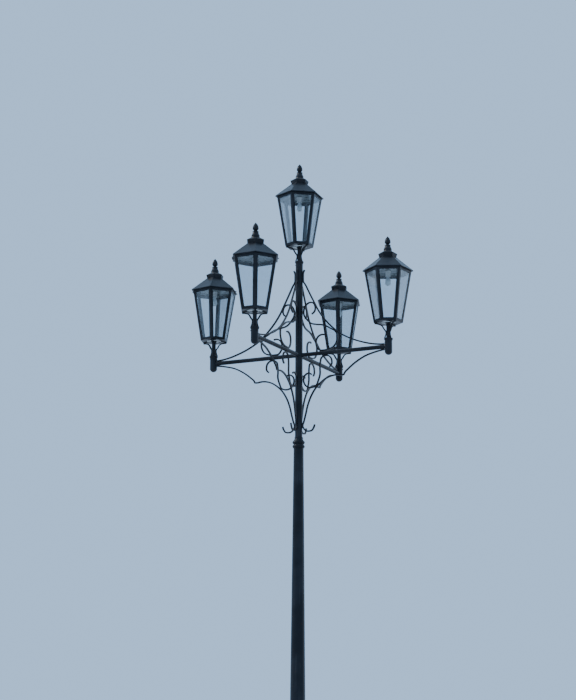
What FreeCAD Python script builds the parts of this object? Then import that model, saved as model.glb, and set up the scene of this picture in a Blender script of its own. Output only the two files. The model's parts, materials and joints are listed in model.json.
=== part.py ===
import FreeCAD, Part
import math
import os
import re

import Sketcher

# A street lamp post with five lanterns: one on top of the mast, four on arms at right angles.
# Millimetres, +Z up, origin at the centre of the base flange's underside.
# The arms lie along the axes: east is +X, north is +Y, west is -X, south is -Y.

Vector = FreeCAD.Vector

DRIVING_SIZES = {
    # foundation flange and its gussets
    "flange_width": 360,
    "flange_thickness": 20,
    "flange_corner_radius": 30,
    "anchor_spacing": 280,
    "anchor_hole_diameter": 26,
    "cable_entry_diameter": 80,
    "gusset_reach": 62,
    "gusset_height": 90,
    "gusset_thickness": 8,
    "gusset_toe": 12,
    # base tube with its door opening
    "base_diameter": 193.7,
    "base_wall": 5,
    "base_top": 1050,
    "door_sill": 480,
    "door_opening_height": 400,
    "door_opening_width": 100,
    "door_opening_corner": 15,
    # service door, hung outside the tube on two hinges
    "door_lap": 14,
    "door_thickness": 3,
    "door_gap": 0.5,
    "door_hinge_knuckle_length": 24,
    "door_hinge_knuckle_radius": 6,
    "door_hinge_pin_radius": 3,
    "door_hinge_inset": 80,
    "door_hinge_leaf_thickness": 3,
    "door_hinge_leaf_start_angle": 5,
    "door_hinge_leaf_end_angle": 16,
    "door_web_overlap_angle": 2,
    "lock_hole_radius": 8,
    "lock_cam_lap": 7,
    "lock_cam_thickness": 4,
    "lock_cam_width": 12,
    "lock_cam_gap": 6,
    "lock_inset": 18,
    "lock_head_radius": 13,
    "lock_head_height": 6,
    "lock_key_radius": 7,
    "lock_boss_radius": 15,
    "lock_boss_depth": 14,
    "lock_head_gap": 0.3,
    # fuse box on the back wall behind the door
    "fuse_box_width": 90,
    "fuse_box_depth": 52,
    "fuse_box_height": 210,
    "fuse_lid_inset": 4,
    "fuse_lid_thickness": 5,
    "gland_radius": 10,
    "gland_length": 16,
    # ring between the base tube and the shaft
    "ring_height": 64,
    "ring_bead_radius": 9,
    "ring_neck_lip": 4,
    "ring_neck_height": 8,
    "spigot_wall": 10,
    "shaft_spigot_gap": 1,
    "spigot_depth": 45,
    # tapered shaft, its collar and the upper post
    "shaft_bottom_diameter": 159,
    "shaft_top_diameter": 101.6,
    "shaft_wall": 4,
    "shaft_top": 4025,
    "collar_height": 120,
    "collar_bead_half_height": 17,
    "collar_foot_height": 6,
    "collar_waist_height": 8,
    "collar_bore_radius": 30,
    "collar_ledge": 8,
    "collar_lip": 1.2,
    "collar_bead_depth": 11.5,
    "collar_neck_wall": 4,
    "post_diameter": 76.1,
    "post_wall": 3.6,
    "fit_gap": 0.2,
    # arms and sockets
    "arm_axis_height": 5000,
    "arm_reach": 1000,
    "arm_diameter": 42.4,
    "arm_wall": 3.2,
    "socket_diameter": 76.1,
    "socket_drop": 89,
    "socket_rise": 80,
    "socket_lip_diameter": 91,
    "socket_lip_height": 7,
    "socket_flare_height": 16,
    "socket_dome_height": 30,
    "socket_bore_depth": 45,
    "top_seat_rise": 998,
    "top_socket_height": 60,
    # scrollwork
    "bar_thickness": 15,
    "bar_width": 15,
    "upper_bracket_height": 905,
    "lower_bracket_depth": 800,
    # lantern cradle, heights above the socket's lip
    "stem_diameter": 42,
    "stem_wall": 4,
    "stem_gap": 0.3,
    "foot_disc_radius": 44,
    "foot_disc_height": 4,
    "foot_disc_cone": 8,
    "head_disc_height": 4,
    "leg_thickness": 12,
    "leg_width": 18,
    "rim_height": 162,
    # lantern frame and its glass
    "rim_radius": 146,
    "frame_height": 537.6,
    "frame_top_radius": 238,
    "frame_wall": 2.5,
    "corner_flange": 26,
    "low_band": 28,
    "high_band": 25,
    "floor_lip": 52,
    "floor_bar_width": 14,
    "floor_hub_radius": 30,
    "floor_hole_radius": 12,
    "glass_thickness": 3,
    "glass_lap": 10,
    "glass_gap": 3,
    "glass_seat_gap": 0.1,
    # lantern roof and its hinge
    "seat_gap": 0.4,
    "eave_overhang": 20,
    "eave_band": 8,
    "roof_rise": 145,
    "roof_top_radius": 86,
    "roof_wall": 2.5,
    "eave_ledge": 24,
    "hinge_knuckle_radius": 4.5,
    "hinge_knuckle_length": 30,
    "hinge_knuckle_gap": 0.6,
    "hinge_pin_radius": 2.5,
    "hinge_leaf_thickness": 3.5,
    "running_clearance": 0.08,
    # vent cap with its finial, heights above the cap's seat on the roof
    "cap_overhang": 12,
    "cap_band": 38,
    "cap_slope_reach": 44,
    "cap_slope_height": 25,
    "cone_mid_radius": 42,
    "cone_mid_height": 27,
    "cone_top_radius": 28.5,
    "cone_top_height": 37,
    "finial_disc_radius": 31.5,
    "finial_disc_height": 5,
    "finial_neck_radius": 15,
    "acorn_radius": 30.5,
    "acorn_height": 84,
    "acorn_side_radius": 80,
    "acorn_tip_radius": 4,
    "cone_curve_radius": 50,
    "finial_neck_height": 10,
    "finial_neck_curve": 8,
    "cap_wall": 6.5,
    "cone_inset": 1.5,
    # reflector, lampholder and bulb
    "reflector_inset": 32,
    "reflector_thickness": 2,
    "lampholder_diameter": 50,
    "lampholder_drop": 55,
    "lamp_cap_radius": 13.5,
    "lamp_cap_length": 24,
    "lamp_cap_gap": 0.5,
    "bulb_radius": 28,
    "bulb_neck_radius": 17,
    "bulb_length": 100,
    "bulb_neck_height": 12.5,
    # which way each lantern's hinged side faces, degrees from +X
    "east_lantern_faces": -6,
    "north_lantern_faces": 80.9,
    "west_lantern_faces": 197.9,
    "south_lantern_faces": -152.1,
    "top_lantern_faces": 125.9,
}

doc = FreeCAD.newDocument("street_lamp_post")
sheet = doc.addObject("Spreadsheet::Sheet", "Sizes")
for row, (name, value) in enumerate(DRIVING_SIZES.items(), start=1):
    sheet.set(f"A{row}", name)
    sheet.set(f"B{row}", str(value))
    sheet.setAlias(f"B{row}", name)
doc.recompute()

# Sizes that follow from the driving ones, as expressions on the sheet.
FLANGE_TOP = "flange_thickness"
BASE_RADIUS = "(base_diameter / 2)"
BASE_BORE = "(base_diameter / 2 - base_wall)"
RING_TOP = "(base_top + ring_height)"
SHAFT_FOOT = "(shaft_bottom_diameter / 2)"
SHAFT_HEAD = "(shaft_top_diameter / 2)"
COLLAR_TOP = "(shaft_top + collar_height)"
POST_RADIUS = "(post_diameter / 2)"
ARM_RADIUS = "(arm_diameter / 2)"
STEM_RADIUS = "(stem_diameter / 2)"
POST_FOOT = "(shaft_top + collar_ledge)"
POST_TOP = "(arm_axis_height + top_seat_rise - top_socket_height)"
DOOR_MIDDLE = "(door_sill + door_opening_height / 2)"
DOOR_HEIGHT = "(door_opening_height + 2 * door_lap)"
DOOR_INNER = f"({BASE_RADIUS} + door_gap)"
DOOR_OUTER = f"({DOOR_INNER} + door_thickness)"
DOOR_HALF_ANGLE = f"(asin((door_opening_width / 2 + door_lap) / {BASE_RADIUS}) / 1 deg)"
DOOR_HINGE_OUT = f"({BASE_RADIUS} + fit_gap + door_hinge_knuckle_radius + hinge_knuckle_gap)"
DOOR_HINGE_ANGLE = (
    f"({DOOR_HALF_ANGLE}"
    f" + asin((door_hinge_knuckle_radius + hinge_knuckle_gap) / {DOOR_HINGE_OUT}) / 1 deg)"
)
DOOR_HINGE_AXIS = (
    f"-{DOOR_HINGE_OUT} * sin({DOOR_HINGE_ANGLE})",
    f"-{DOOR_HINGE_OUT} * cos({DOOR_HINGE_ANGLE})",
)
DOOR_HINGE_HEIGHTS = (
    "(door_sill + door_hinge_inset)",
    "(door_sill + door_opening_height - door_hinge_inset)",
)
LOCK_ACROSS = "(door_opening_width / 2 - lock_inset)"
LOCK_CAM_END = "(door_opening_width / 2 + lock_cam_lap)"
LOCK_CAM_IN = (
    f"(sqrt({BASE_BORE}^2 - {LOCK_CAM_END}^2) - lock_cam_gap - lock_cam_thickness)"
)
STEM_BORE = f"({STEM_RADIUS} + stem_gap)"
EAVE_HEIGHT = "(rim_height + frame_height + seat_gap)"
EAVE_RADIUS = "(frame_top_radius + eave_overhang)"
EAVE_FLAT = f"({EAVE_RADIUS} * cos(30))"
ROOF_HINGE_OUT = f"({EAVE_FLAT} + hinge_knuckle_radius + hinge_knuckle_gap)"
ROOF_HINGE_HEIGHT = f"({EAVE_HEIGHT} - seat_gap / 2)"
CAP_SEAT = f"({EAVE_HEIGHT} + roof_rise)"
CAP_RIM = "(roof_top_radius + cap_overhang)"
CAP_SLOPE_TOP = f"({CAP_RIM} - cap_slope_reach)"
FRAME_LEAN = "(atan((frame_top_radius - rim_radius) * cos(30) / frame_height) / 1 deg)"
HOLDER_TOP = f"({EAVE_HEIGHT} + roof_wall)"
HOLDER_BOTTOM = f"({HOLDER_TOP} - lampholder_drop)"

H_AXIS = -1
V_AXIS = -2
SMALL = 1e-6
LEAST_CUT = 1
NEARLY_UPRIGHT = 0.9


def size(expression):
    """The number that an expression on the sheet's values gives."""
    return float(sheet.evalExpression(expression))


def bind(feature, target, expression):
    """Tie one property or constraint to the sheet."""
    linked = re.sub(
        r"[a-z_]+",
        lambda word: f"Sizes.{word.group()}" if word.group() in DRIVING_SIZES else word.group(),
        expression,
    )
    feature.setExpression(target, linked)


# --- sketches ---------------------------------------------------------------------------------


def new_body(label):
    body = doc.addObject("PartDesign::Body", label)
    body.Label = label
    return body


def new_sketch(body, role, lift=None, shift=None):
    """An empty sketch on one of the body's own origin planes, lifted along its normal."""
    sketch = body.newObject("Sketcher::SketchObject", "sketch")
    plane = next(item for item in body.Origin.OriginFeatures if item.Role == role)
    sketch.AttachmentSupport = [(plane, "")]
    sketch.MapMode = "FlatFace"
    if lift:
        bind(sketch, "AttachmentOffset.Base.z", lift)
    if shift:
        bind(sketch, "AttachmentOffset.Base.x", shift)
    return sketch


def pin_point(sketch, curve, end, across, up):
    """Hold one point of a sketch at two expressions, or on an axis where one is zero."""
    for kind, expression, axis in (("DistanceX", across, V_AXIS), ("DistanceY", up, H_AXIS)):
        value = size(expression)
        if abs(value) < SMALL:
            sketch.addConstraint(Sketcher.Constraint("PointOnObject", curve, end, axis))
        else:
            held = Sketcher.Constraint(kind, -1, 1, curve, end, value)
            bind(sketch, f"Constraints[{sketch.addConstraint(held)}]", expression)


def arc_between(start, finish, radius):
    """The short arc between two points: it turns left for a positive radius, right for a negative."""
    chord = finish - start
    left = Vector(-chord.y, chord.x, 0).normalize()
    rise = math.sqrt(max(radius**2 - (chord.Length / 2) ** 2, 0))
    centre = (start + finish) / 2 + left * math.copysign(rise, radius)
    first, last = (start, finish) if radius > 0 else (finish, start)
    angles = [math.atan2(point.y - centre.y, point.x - centre.x) for point in (first, last)]
    circle = Part.Circle(centre, Vector(0, 0, 1), abs(radius))
    return Part.ArcOfCircle(circle, angles[0], angles[1])


def add_outline(sketch, corners):
    """A closed outline. A corner is (across, up), or (across, up, radius) where an arc follows."""
    places = [Vector(size(corner[0]), size(corner[1]), 0) for corner in corners]
    first = sketch.GeometryCount
    count = len(corners)
    ends = []
    for number, corner in enumerate(corners):
        start, finish = places[number], places[(number + 1) % count]
        if len(corner) == 3:
            radius = size(corner[2])
            sketch.addGeometry(arc_between(start, finish, radius))
            ends.append((1, 2) if radius > 0 else (2, 1))
        else:
            sketch.addGeometry(Part.LineSegment(start, finish))
            ends.append((1, 2))
    for number, corner in enumerate(corners):
        after = (number + 1) % count
        joint = (first + number, ends[number][1], first + after, ends[after][0])
        sketch.addConstraint(Sketcher.Constraint("Coincident", *joint))
        pin_point(sketch, first + number, ends[number][0], corner[0], corner[1])
        if len(corner) == 3:
            radius = Sketcher.Constraint("Radius", first + number, abs(size(corner[2])))
            bind(sketch, f"Constraints[{sketch.addConstraint(radius)}]", f"abs({corner[2]})")


def add_circle(sketch, across, up, radius):
    centre = Vector(size(across), size(up), 0)
    curve = sketch.addGeometry(Part.Circle(centre, Vector(0, 0, 1), size(radius)))
    pin_point(sketch, curve, 3, across, up)
    held = sketch.addConstraint(Sketcher.Constraint("Radius", curve, size(radius)))
    bind(sketch, f"Constraints[{held}]", radius)


def add_rectangle(sketch, left, low, right, high):
    add_outline(sketch, [(left, low), (right, low), (right, high), (left, high)])


def add_hexagon(sketch, radius):
    add_outline(sketch, [(f"{radius} * cos({60 * k})", f"{radius} * sin({60 * k})") for k in range(6)])


# --- features ---------------------------------------------------------------------------------


def pad(body, sketch, length, centred=False, reversed_way=False):
    feature = body.newObject("PartDesign::Pad", "pad")
    feature.Profile = sketch
    bind(feature, "Length", length)
    feature.Midplane = centred
    feature.Reversed = reversed_way
    doc.recompute()
    return feature


def pocket(body, sketch, length, centred=False, reversed_way=False):
    """Cut a sketch out of the body, and stop if nothing was cut."""
    before = body.Shape.Volume
    feature = body.newObject("PartDesign::Pocket", "pocket")
    feature.Profile = sketch
    bind(feature, "Length", length)
    feature.Midplane = centred
    feature.Reversed = reversed_way
    doc.recompute()
    if feature.Shape.Volume > before - LEAST_CUT:
        raise RuntimeError(f"a pocket of {body.Label} cuts nothing")
    return feature


def revolve(body, sketch):
    """Turn a sketch on the XZ plane about its own vertical axis."""
    feature = body.newObject("PartDesign::Revolution", "revolution")
    feature.Profile = sketch
    feature.ReferenceAxis = (sketch, ["V_Axis"])
    feature.Angle = 360
    doc.recompute()
    return feature


def around(body, feature, count):
    """Repeat a feature evenly about the body's vertical axis."""
    pattern = body.newObject("PartDesign::PolarPattern", "pattern")
    pattern.Originals = [feature]
    axis = next(item for item in body.Origin.OriginFeatures if item.Role == "Z_Axis")
    pattern.Axis = (axis, [""])
    pattern.Angle = 360
    pattern.Occurrences = count
    body.Tip = pattern
    doc.recompute()
    return pattern


def turned(label, corners, role="XZ_Plane"):
    """A body of revolution from one closed outline of (radius, height) corners."""
    body = new_body(label)
    sketch = new_sketch(body, role)
    add_outline(sketch, corners)
    revolve(body, sketch)
    return body


def faces_where(feature, test):
    """The names of a feature's faces whose normal and middle pass a test."""
    return [
        f"Face{number}"
        for number, face in enumerate(feature.Shape.Faces, 1)
        if test(face.normalAt(0, 0), face.CenterOfMass)
    ]


def hexagonal_taper(body, low_radius, high_radius, low, height):
    """A six-sided solid that leans outward or inward from its low hexagon to its high one."""
    sketch = new_sketch(body, "XY_Plane", lift=low)
    add_hexagon(sketch, low_radius)
    block = pad(body, sketch, height)
    bottom = body.newObject("PartDesign::Plane", "bottom")
    bottom.AttachmentSupport = sketch.AttachmentSupport
    bottom.MapMode = "FlatFace"
    bind(bottom, "AttachmentOffset.Base.z", low)
    middle = size(f"{low} + {height} / 2")
    draft = body.newObject("PartDesign::Draft", "draft")
    draft.Base = (block, faces_where(
        block, lambda normal, centre: abs(normal.z) < SMALL and abs(centre.z - middle) < SMALL
    ))
    draft.NeutralPlane = (bottom, [""])
    leans_out = size(high_radius) > size(low_radius)
    draft.Reversed = leans_out
    change = f"({high_radius} - {low_radius})" if leans_out else f"({low_radius} - {high_radius})"
    bind(draft, "Angle", f"atan({change} * cos(30) / ({height}))")
    doc.recompute()
    return draft


def shell(body, feature, wall, open_ends):
    """Hollow a solid inward, leaving out the flat ends that open_ends picks by their normal."""
    thickness = body.newObject("PartDesign::Thickness", "thickness")
    thickness.Base = (feature, faces_where(feature, open_ends))
    thickness.Mode = "Skin"
    thickness.Join = "Intersection"
    thickness.Reversed = True
    bind(thickness, "Value", wall)
    doc.recompute()
    return thickness


# --- base -------------------------------------------------------------------------------------


def base_flange():
    """Square steel plate with rounded corners, four anchor holes and the cable entry."""
    body = new_body("base_flange")
    sketch = new_sketch(body, "XY_Plane")
    half = "flange_width / 2"
    add_rectangle(sketch, f"-{half}", f"-{half}", half, half)
    plate = pad(body, sketch, "flange_thickness")
    upright = [
        f"Edge{number}"
        for number, edge in enumerate(plate.Shape.Edges, 1)
        if abs(edge.tangentAt(edge.FirstParameter).z) > NEARLY_UPRIGHT
    ]
    fillet = body.newObject("PartDesign::Fillet", "fillet")
    fillet.Base = (plate, upright)
    bind(fillet, "Radius", "flange_corner_radius")
    doc.recompute()
    holes = new_sketch(body, "XY_Plane")
    for side in ("-", ""):
        for end in ("-", ""):
            add_circle(holes, f"{side}anchor_spacing / 2", f"{end}anchor_spacing / 2",
                       "anchor_hole_diameter / 2")
    add_circle(holes, "0", "0", "cable_entry_diameter / 2")
    pocket(body, holes, "flange_thickness * 3", centred=True)
    return body


def base_gussets():
    """Four triangular webs welded between the flange and the base tube."""
    body = new_body("base_gussets")
    sketch = new_sketch(body, "XZ_Plane")
    inner = f"({BASE_RADIUS} + fit_gap)"
    outer = f"({BASE_RADIUS} + gusset_reach)"
    add_outline(sketch, [
        (inner, FLANGE_TOP),
        (outer, FLANGE_TOP),
        (outer, f"{FLANGE_TOP} + gusset_toe"),
        (f"{inner} + gusset_toe", f"{FLANGE_TOP} + gusset_height"),
        (inner, f"{FLANGE_TOP} + gusset_height"),
    ])
    web = pad(body, sketch, "gusset_thickness", centred=True)
    around(body, web, 4)
    return body


def base_tube():
    """Lower tube of the post, with the door opening cut in its south side."""
    body = turned("base_tube", [
        (BASE_BORE, FLANGE_TOP),
        (BASE_RADIUS, FLANGE_TOP),
        (BASE_RADIUS, "base_top"),
        (BASE_BORE, "base_top"),
    ])
    opening = new_sketch(body, "XZ_Plane")
    half = "door_opening_width / 2"
    low = "door_sill"
    high = "(door_sill + door_opening_height)"
    corner = "door_opening_corner"
    add_outline(opening, [
        (f"-{half} + {corner}", low),
        (f"{half} - {corner}", low, corner),
        (half, f"{low} + {corner}"),
        (half, f"{high} - {corner}", corner),
        (f"{half} - {corner}", high),
        (f"-{half} + {corner}", high, corner),
        (f"-{half}", f"{high} - {corner}"),
        (f"-{half}", f"{low} + {corner}", corner),
    ])
    pocket(body, opening, "base_diameter", reversed_way=True)
    return body


def base_ring():
    """Cast ring that closes the base tube and carries the shaft, with a spigot into each."""
    lower_spigot = f"({BASE_BORE} - fit_gap)"
    upper_spigot = f"({SHAFT_FOOT} - shaft_wall - shaft_spigot_gap)"
    neck = f"({SHAFT_FOOT} + ring_neck_lip)"
    bead_top = "(base_top + 2 * ring_bead_radius)"
    return turned("base_ring", [
        (f"{lower_spigot} - spigot_wall", "base_top - spigot_depth"),
        (lower_spigot, "base_top - spigot_depth"),
        (lower_spigot, "base_top"),
        (BASE_RADIUS, "base_top", "ring_bead_radius"),
        (f"{BASE_RADIUS} + ring_bead_radius", "base_top + ring_bead_radius", "ring_bead_radius"),
        (BASE_RADIUS, bead_top, f"-({RING_TOP} - {bead_top})"),
        (neck, f"{RING_TOP} - ring_neck_height"),
        (neck, RING_TOP),
        (upper_spigot, RING_TOP),
        (upper_spigot, f"{RING_TOP} + spigot_depth"),
        (f"{upper_spigot} - spigot_wall", f"{RING_TOP} + spigot_depth"),
        (f"{upper_spigot} - spigot_wall", "base_top"),
    ])


def tapered_shaft():
    """Round tube that narrows from the ring to the collar."""
    return turned("tapered_shaft", [
        (f"{SHAFT_FOOT} - shaft_wall", RING_TOP),
        (SHAFT_FOOT, RING_TOP),
        (SHAFT_HEAD, "shaft_top"),
        (f"{SHAFT_HEAD} - shaft_wall", "shaft_top"),
    ])


def shaft_collar():
    """Cast collar with two round beads: it plugs the shaft and holds the foot of the upper post."""
    spigot = f"({SHAFT_HEAD} - shaft_wall - fit_gap)"
    bore = f"({POST_RADIUS} + fit_gap)"
    waist = f"({SHAFT_HEAD} + collar_lip)"
    girth = f"({waist} + collar_bead_depth)"
    neck = f"({bore} + collar_neck_wall)"
    curve = "((collar_bead_half_height^2 + collar_bead_depth^2) / (2 * collar_bead_depth))"
    first = "(shaft_top + collar_foot_height)"
    second = f"({first} + 2 * collar_bead_half_height + collar_waist_height)"
    beads_end = f"({second} + 2 * collar_bead_half_height)"
    return turned("shaft_collar", [
        ("collar_bore_radius", "shaft_top - spigot_depth"),
        (spigot, "shaft_top - spigot_depth"),
        (spigot, "shaft_top"),
        (waist, "shaft_top"),
        (waist, first, curve),
        (girth, f"{first} + collar_bead_half_height", curve),
        (waist, f"{first} + 2 * collar_bead_half_height"),
        (waist, second, curve),
        (girth, f"{second} + collar_bead_half_height", curve),
        (waist, beads_end),
        (neck, f"({beads_end} + {COLLAR_TOP}) / 2"),
        (neck, COLLAR_TOP),
        (bore, COLLAR_TOP),
        (bore, POST_FOOT),
        ("collar_bore_radius", POST_FOOT),
    ])


def upper_post():
    """Straight round tube that carries the arms and the top lantern."""
    return turned("upper_post", [
        (f"{POST_RADIUS} - post_wall", POST_FOOT),
        (POST_RADIUS, POST_FOOT),
        (POST_RADIUS, POST_TOP),
        (f"{POST_RADIUS} - post_wall", POST_TOP),
    ])


def top_socket():
    """Cast cup on the post's top that takes the stem of the top lantern."""
    spigot = f"({POST_RADIUS} - post_wall - fit_gap)"
    seat = "(arm_axis_height + top_seat_rise)"
    return turned("top_socket", [
        ("0", f"{POST_TOP} - spigot_depth"),
        (spigot, f"{POST_TOP} - spigot_depth"),
        (spigot, POST_TOP),
        (POST_RADIUS, POST_TOP),
        (POST_RADIUS, f"{seat} - socket_lip_height - socket_flare_height"),
        ("socket_lip_diameter / 2", f"{seat} - socket_lip_height"),
        ("socket_lip_diameter / 2", seat),
        (STEM_BORE, seat),
        (STEM_BORE, f"{seat} - socket_bore_depth"),
        ("0", f"{seat} - socket_bore_depth"),
    ])


# --- service door -----------------------------------------------------------------------------


def on_circle(radius, angle):
    """A point west of the door's middle by an angle, seen on the tube's cross-section."""
    return f"-{radius} * sin({angle})", f"-{radius} * cos({angle})"


def service_door():
    """Curved cover plate over the opening, with the middle knuckle of each hinge."""
    body = new_body("service_door")
    plate = new_sketch(body, "XY_Plane", lift=f"{DOOR_MIDDLE} - {DOOR_HEIGHT} / 2")
    west_inner = on_circle(DOOR_INNER, DOOR_HALF_ANGLE)
    west_outer = on_circle(DOOR_OUTER, DOOR_HALF_ANGLE)
    east_inner = on_circle(DOOR_INNER, f"-{DOOR_HALF_ANGLE}")
    east_outer = on_circle(DOOR_OUTER, f"-{DOOR_HALF_ANGLE}")
    add_outline(plate, [
        west_inner,
        (*west_outer, DOOR_OUTER),
        east_outer,
        (*east_inner, f"-{DOOR_INNER}"),
    ])
    pad(body, plate, DOOR_HEIGHT)
    web_angle = f"({DOOR_HALF_ANGLE} - door_web_overlap_angle)"
    web_half = "(door_thickness / 2 - fit_gap)"
    web_middle = f"(({DOOR_INNER} + {DOOR_OUTER}) / 2)"
    for height in DOOR_HINGE_HEIGHTS:
        low = f"{height} - door_hinge_knuckle_length / 2"
        knuckle = new_sketch(body, "XY_Plane", lift=low)
        add_circle(knuckle, *DOOR_HINGE_AXIS, "door_hinge_knuckle_radius")
        pad(body, knuckle, "door_hinge_knuckle_length")
        web = new_sketch(body, "XY_Plane", lift=low)
        add_outline(web, [
            on_circle(f"({web_middle} - {web_half})", web_angle),
            on_circle(f"({DOOR_HINGE_OUT} - {web_half})", DOOR_HINGE_ANGLE),
            on_circle(f"({DOOR_HINGE_OUT} + {web_half})", DOOR_HINGE_ANGLE),
            on_circle(f"({web_middle} + {web_half})", web_angle),
        ])
        pad(body, web, "door_hinge_knuckle_length")
    bore = new_sketch(body, "XY_Plane")
    add_circle(bore, *DOOR_HINGE_AXIS, "door_hinge_pin_radius + running_clearance")
    pocket(body, bore, "base_top", reversed_way=True)
    boss = new_sketch(body, "XZ_Plane", lift=f"{DOOR_OUTER} - lock_boss_depth")
    add_circle(boss, LOCK_ACROSS, DOOR_MIDDLE, "lock_boss_radius")
    pad(body, boss, "lock_boss_depth - lock_head_gap")
    lock = new_sketch(body, "XZ_Plane")
    add_circle(lock, LOCK_ACROSS, DOOR_MIDDLE, "lock_hole_radius")
    pocket(body, lock, "base_diameter", reversed_way=True)
    return body


def door_hinges():
    """Two hinges welded to the tube: a leaf, two knuckles and the pin through them."""
    body = new_body("door_hinges")
    leaf_inner = f"({BASE_RADIUS} + fit_gap)"
    leaf_outer = f"({leaf_inner} + door_hinge_leaf_thickness)"
    leaf_start = f"({DOOR_HINGE_ANGLE} + door_hinge_leaf_start_angle)"
    leaf_end = f"({DOOR_HINGE_ANGLE} + door_hinge_leaf_end_angle)"
    half_stack = "(1.5 * door_hinge_knuckle_length + hinge_knuckle_gap)"
    for height in DOOR_HINGE_HEIGHTS:
        bottom = f"({height} - {half_stack})"
        leaf = new_sketch(body, "XY_Plane", lift=bottom)
        add_outline(leaf, [
            on_circle(leaf_inner, leaf_end),
            (*on_circle(leaf_outer, leaf_end), leaf_outer),
            on_circle(leaf_outer, leaf_start),
            (*on_circle(leaf_inner, leaf_start), f"-{leaf_inner}"),
        ])
        pad(body, leaf, f"2 * {half_stack}")
        for low in (bottom, f"({height} + door_hinge_knuckle_length / 2 + hinge_knuckle_gap)"):
            knuckle = new_sketch(body, "XY_Plane", lift=low)
            add_circle(knuckle, *DOOR_HINGE_AXIS, "door_hinge_knuckle_radius")
            pad(body, knuckle, "door_hinge_knuckle_length")
            web = new_sketch(body, "XY_Plane", lift=low)
            inner_leaf_angle = f"({leaf_start} + door_web_overlap_angle)"
            add_outline(web, [
                on_circle(leaf_inner, inner_leaf_angle),
                on_circle(leaf_outer, inner_leaf_angle),
                on_circle(f"({DOOR_HINGE_OUT} + fit_gap)", DOOR_HINGE_ANGLE),
                on_circle(f"({DOOR_HINGE_OUT} - door_hinge_leaf_thickness)", DOOR_HINGE_ANGLE),
            ])
            pad(body, web, "door_hinge_knuckle_length")
        hinge_pin = new_sketch(body, "XY_Plane", lift=bottom)
        add_circle(hinge_pin, *DOOR_HINGE_AXIS, "door_hinge_pin_radius")
        pad(body, hinge_pin, f"2 * {half_stack}")
    return body


def door_lock():
    """Lock spindle with its round head outside and the cam that turns behind the tube's wall."""
    body = new_body("door_lock")
    head = new_sketch(body, "XZ_Plane", lift=f"{DOOR_OUTER}")
    add_circle(head, LOCK_ACROSS, DOOR_MIDDLE, "lock_head_radius")
    pad(body, head, "lock_head_height")
    spindle = new_sketch(body, "XZ_Plane", lift=LOCK_CAM_IN)
    add_circle(spindle, LOCK_ACROSS, DOOR_MIDDLE, "lock_hole_radius - running_clearance")
    pad(body, spindle, f"{DOOR_OUTER} - {LOCK_CAM_IN}")
    cam = new_sketch(body, "XZ_Plane", lift=LOCK_CAM_IN)
    add_rectangle(cam, f"{LOCK_ACROSS} - lock_cam_width / 2", f"{DOOR_MIDDLE} - lock_cam_width / 2",
                  f"{LOCK_ACROSS} + lock_cam_width / 2",
                  f"{DOOR_MIDDLE} + {LOCK_CAM_END} - {LOCK_ACROSS}")
    pad(body, cam, "lock_cam_thickness")
    key = new_sketch(body, "XZ_Plane", lift=f"{DOOR_OUTER} + lock_head_height")
    add_outline(key, [
        (f"{LOCK_ACROSS} + lock_key_radius * cos({angle})",
         f"{DOOR_MIDDLE} + lock_key_radius * sin({angle})")
        for angle in (-30, 90, 210)
    ])
    pocket(body, key, "lock_head_height / 2")
    return body


def fuse_box():
    """Terminal and fuse box on the tube's back wall, with a lid and two cable glands below."""
    body = new_body("fuse_box")
    back = f"(sqrt({BASE_BORE}^2 - fuse_box_width^2 / 4) - fit_gap)"
    half = "fuse_box_width / 2"
    low = f"({DOOR_MIDDLE} - fuse_box_height / 2)"
    high = f"({DOOR_MIDDLE} + fuse_box_height / 2)"
    case = new_sketch(body, "XZ_Plane", lift=f"-{back}")
    add_rectangle(case, f"-{half}", low, half, high)
    pad(body, case, "fuse_box_depth")
    lid = new_sketch(body, "XZ_Plane", lift=f"fuse_box_depth - {back}")
    add_rectangle(lid, f"-{half} + fuse_lid_inset", f"{low} + fuse_lid_inset",
                  f"{half} - fuse_lid_inset", f"{high} - fuse_lid_inset")
    pad(body, lid, "fuse_lid_thickness")
    glands = new_sketch(body, "XY_Plane", lift=low)
    for side in ("-", ""):
        add_circle(glands, f"{side}fuse_box_width / 4", f"{back} - fuse_box_depth / 2", "gland_radius")
    pad(body, glands, "gland_length", reversed_way=True)
    return body


# --- arms and scrollwork ----------------------------------------------------------------------


def arm_pattern():
    """One arm: a tube cut to the post's round, welded to a socket with a domed foot."""
    body = new_body("arm_pattern")
    tube = new_sketch(body, "YZ_Plane")
    add_circle(tube, "0", "0", ARM_RADIUS)
    pad(body, tube, "arm_reach")
    socket = new_sketch(body, "XZ_Plane", shift="arm_reach")
    wall = "(socket_diameter / 2)"
    lip = "(socket_lip_diameter / 2)"
    dome = f"(({wall}^2 + socket_dome_height^2) / (2 * socket_dome_height))"
    add_outline(socket, [
        ("0", "-socket_drop", dome),
        (wall, "socket_dome_height - socket_drop"),
        (wall, "socket_rise - socket_lip_height - socket_flare_height"),
        (lip, "socket_rise - socket_lip_height"),
        (lip, "socket_rise"),
        (STEM_BORE, "socket_rise"),
        (STEM_BORE, "socket_rise - socket_bore_depth"),
        ("0", "socket_rise - socket_bore_depth"),
    ])
    revolve(body, socket)
    bore = new_sketch(body, "YZ_Plane")
    add_circle(bore, "0", "0", f"{ARM_RADIUS} - arm_wall")
    pocket(body, bore, "arm_reach", reversed_way=True)
    cope = new_sketch(body, "XY_Plane")
    add_circle(cope, "0", "0", f"{POST_RADIUS} + fit_gap")
    pocket(body, cope, "arm_diameter * 2", centred=True)
    return body


# The scrollwork is laid out in the plane of one arm, as (out, up): out from the post's skin,
# up (or down, in the lower half) from the arm's. AT_SKIN lays a bar's flat side on post or arm.
# The last number of some points is the bar's heading there, in degrees; the rest follow
# from their neighbours.
AT_SKIN = None
LAYOUT_REACH = 924
LAYOUT_RISE = 884
LAYOUT_DROP = 779

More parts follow.
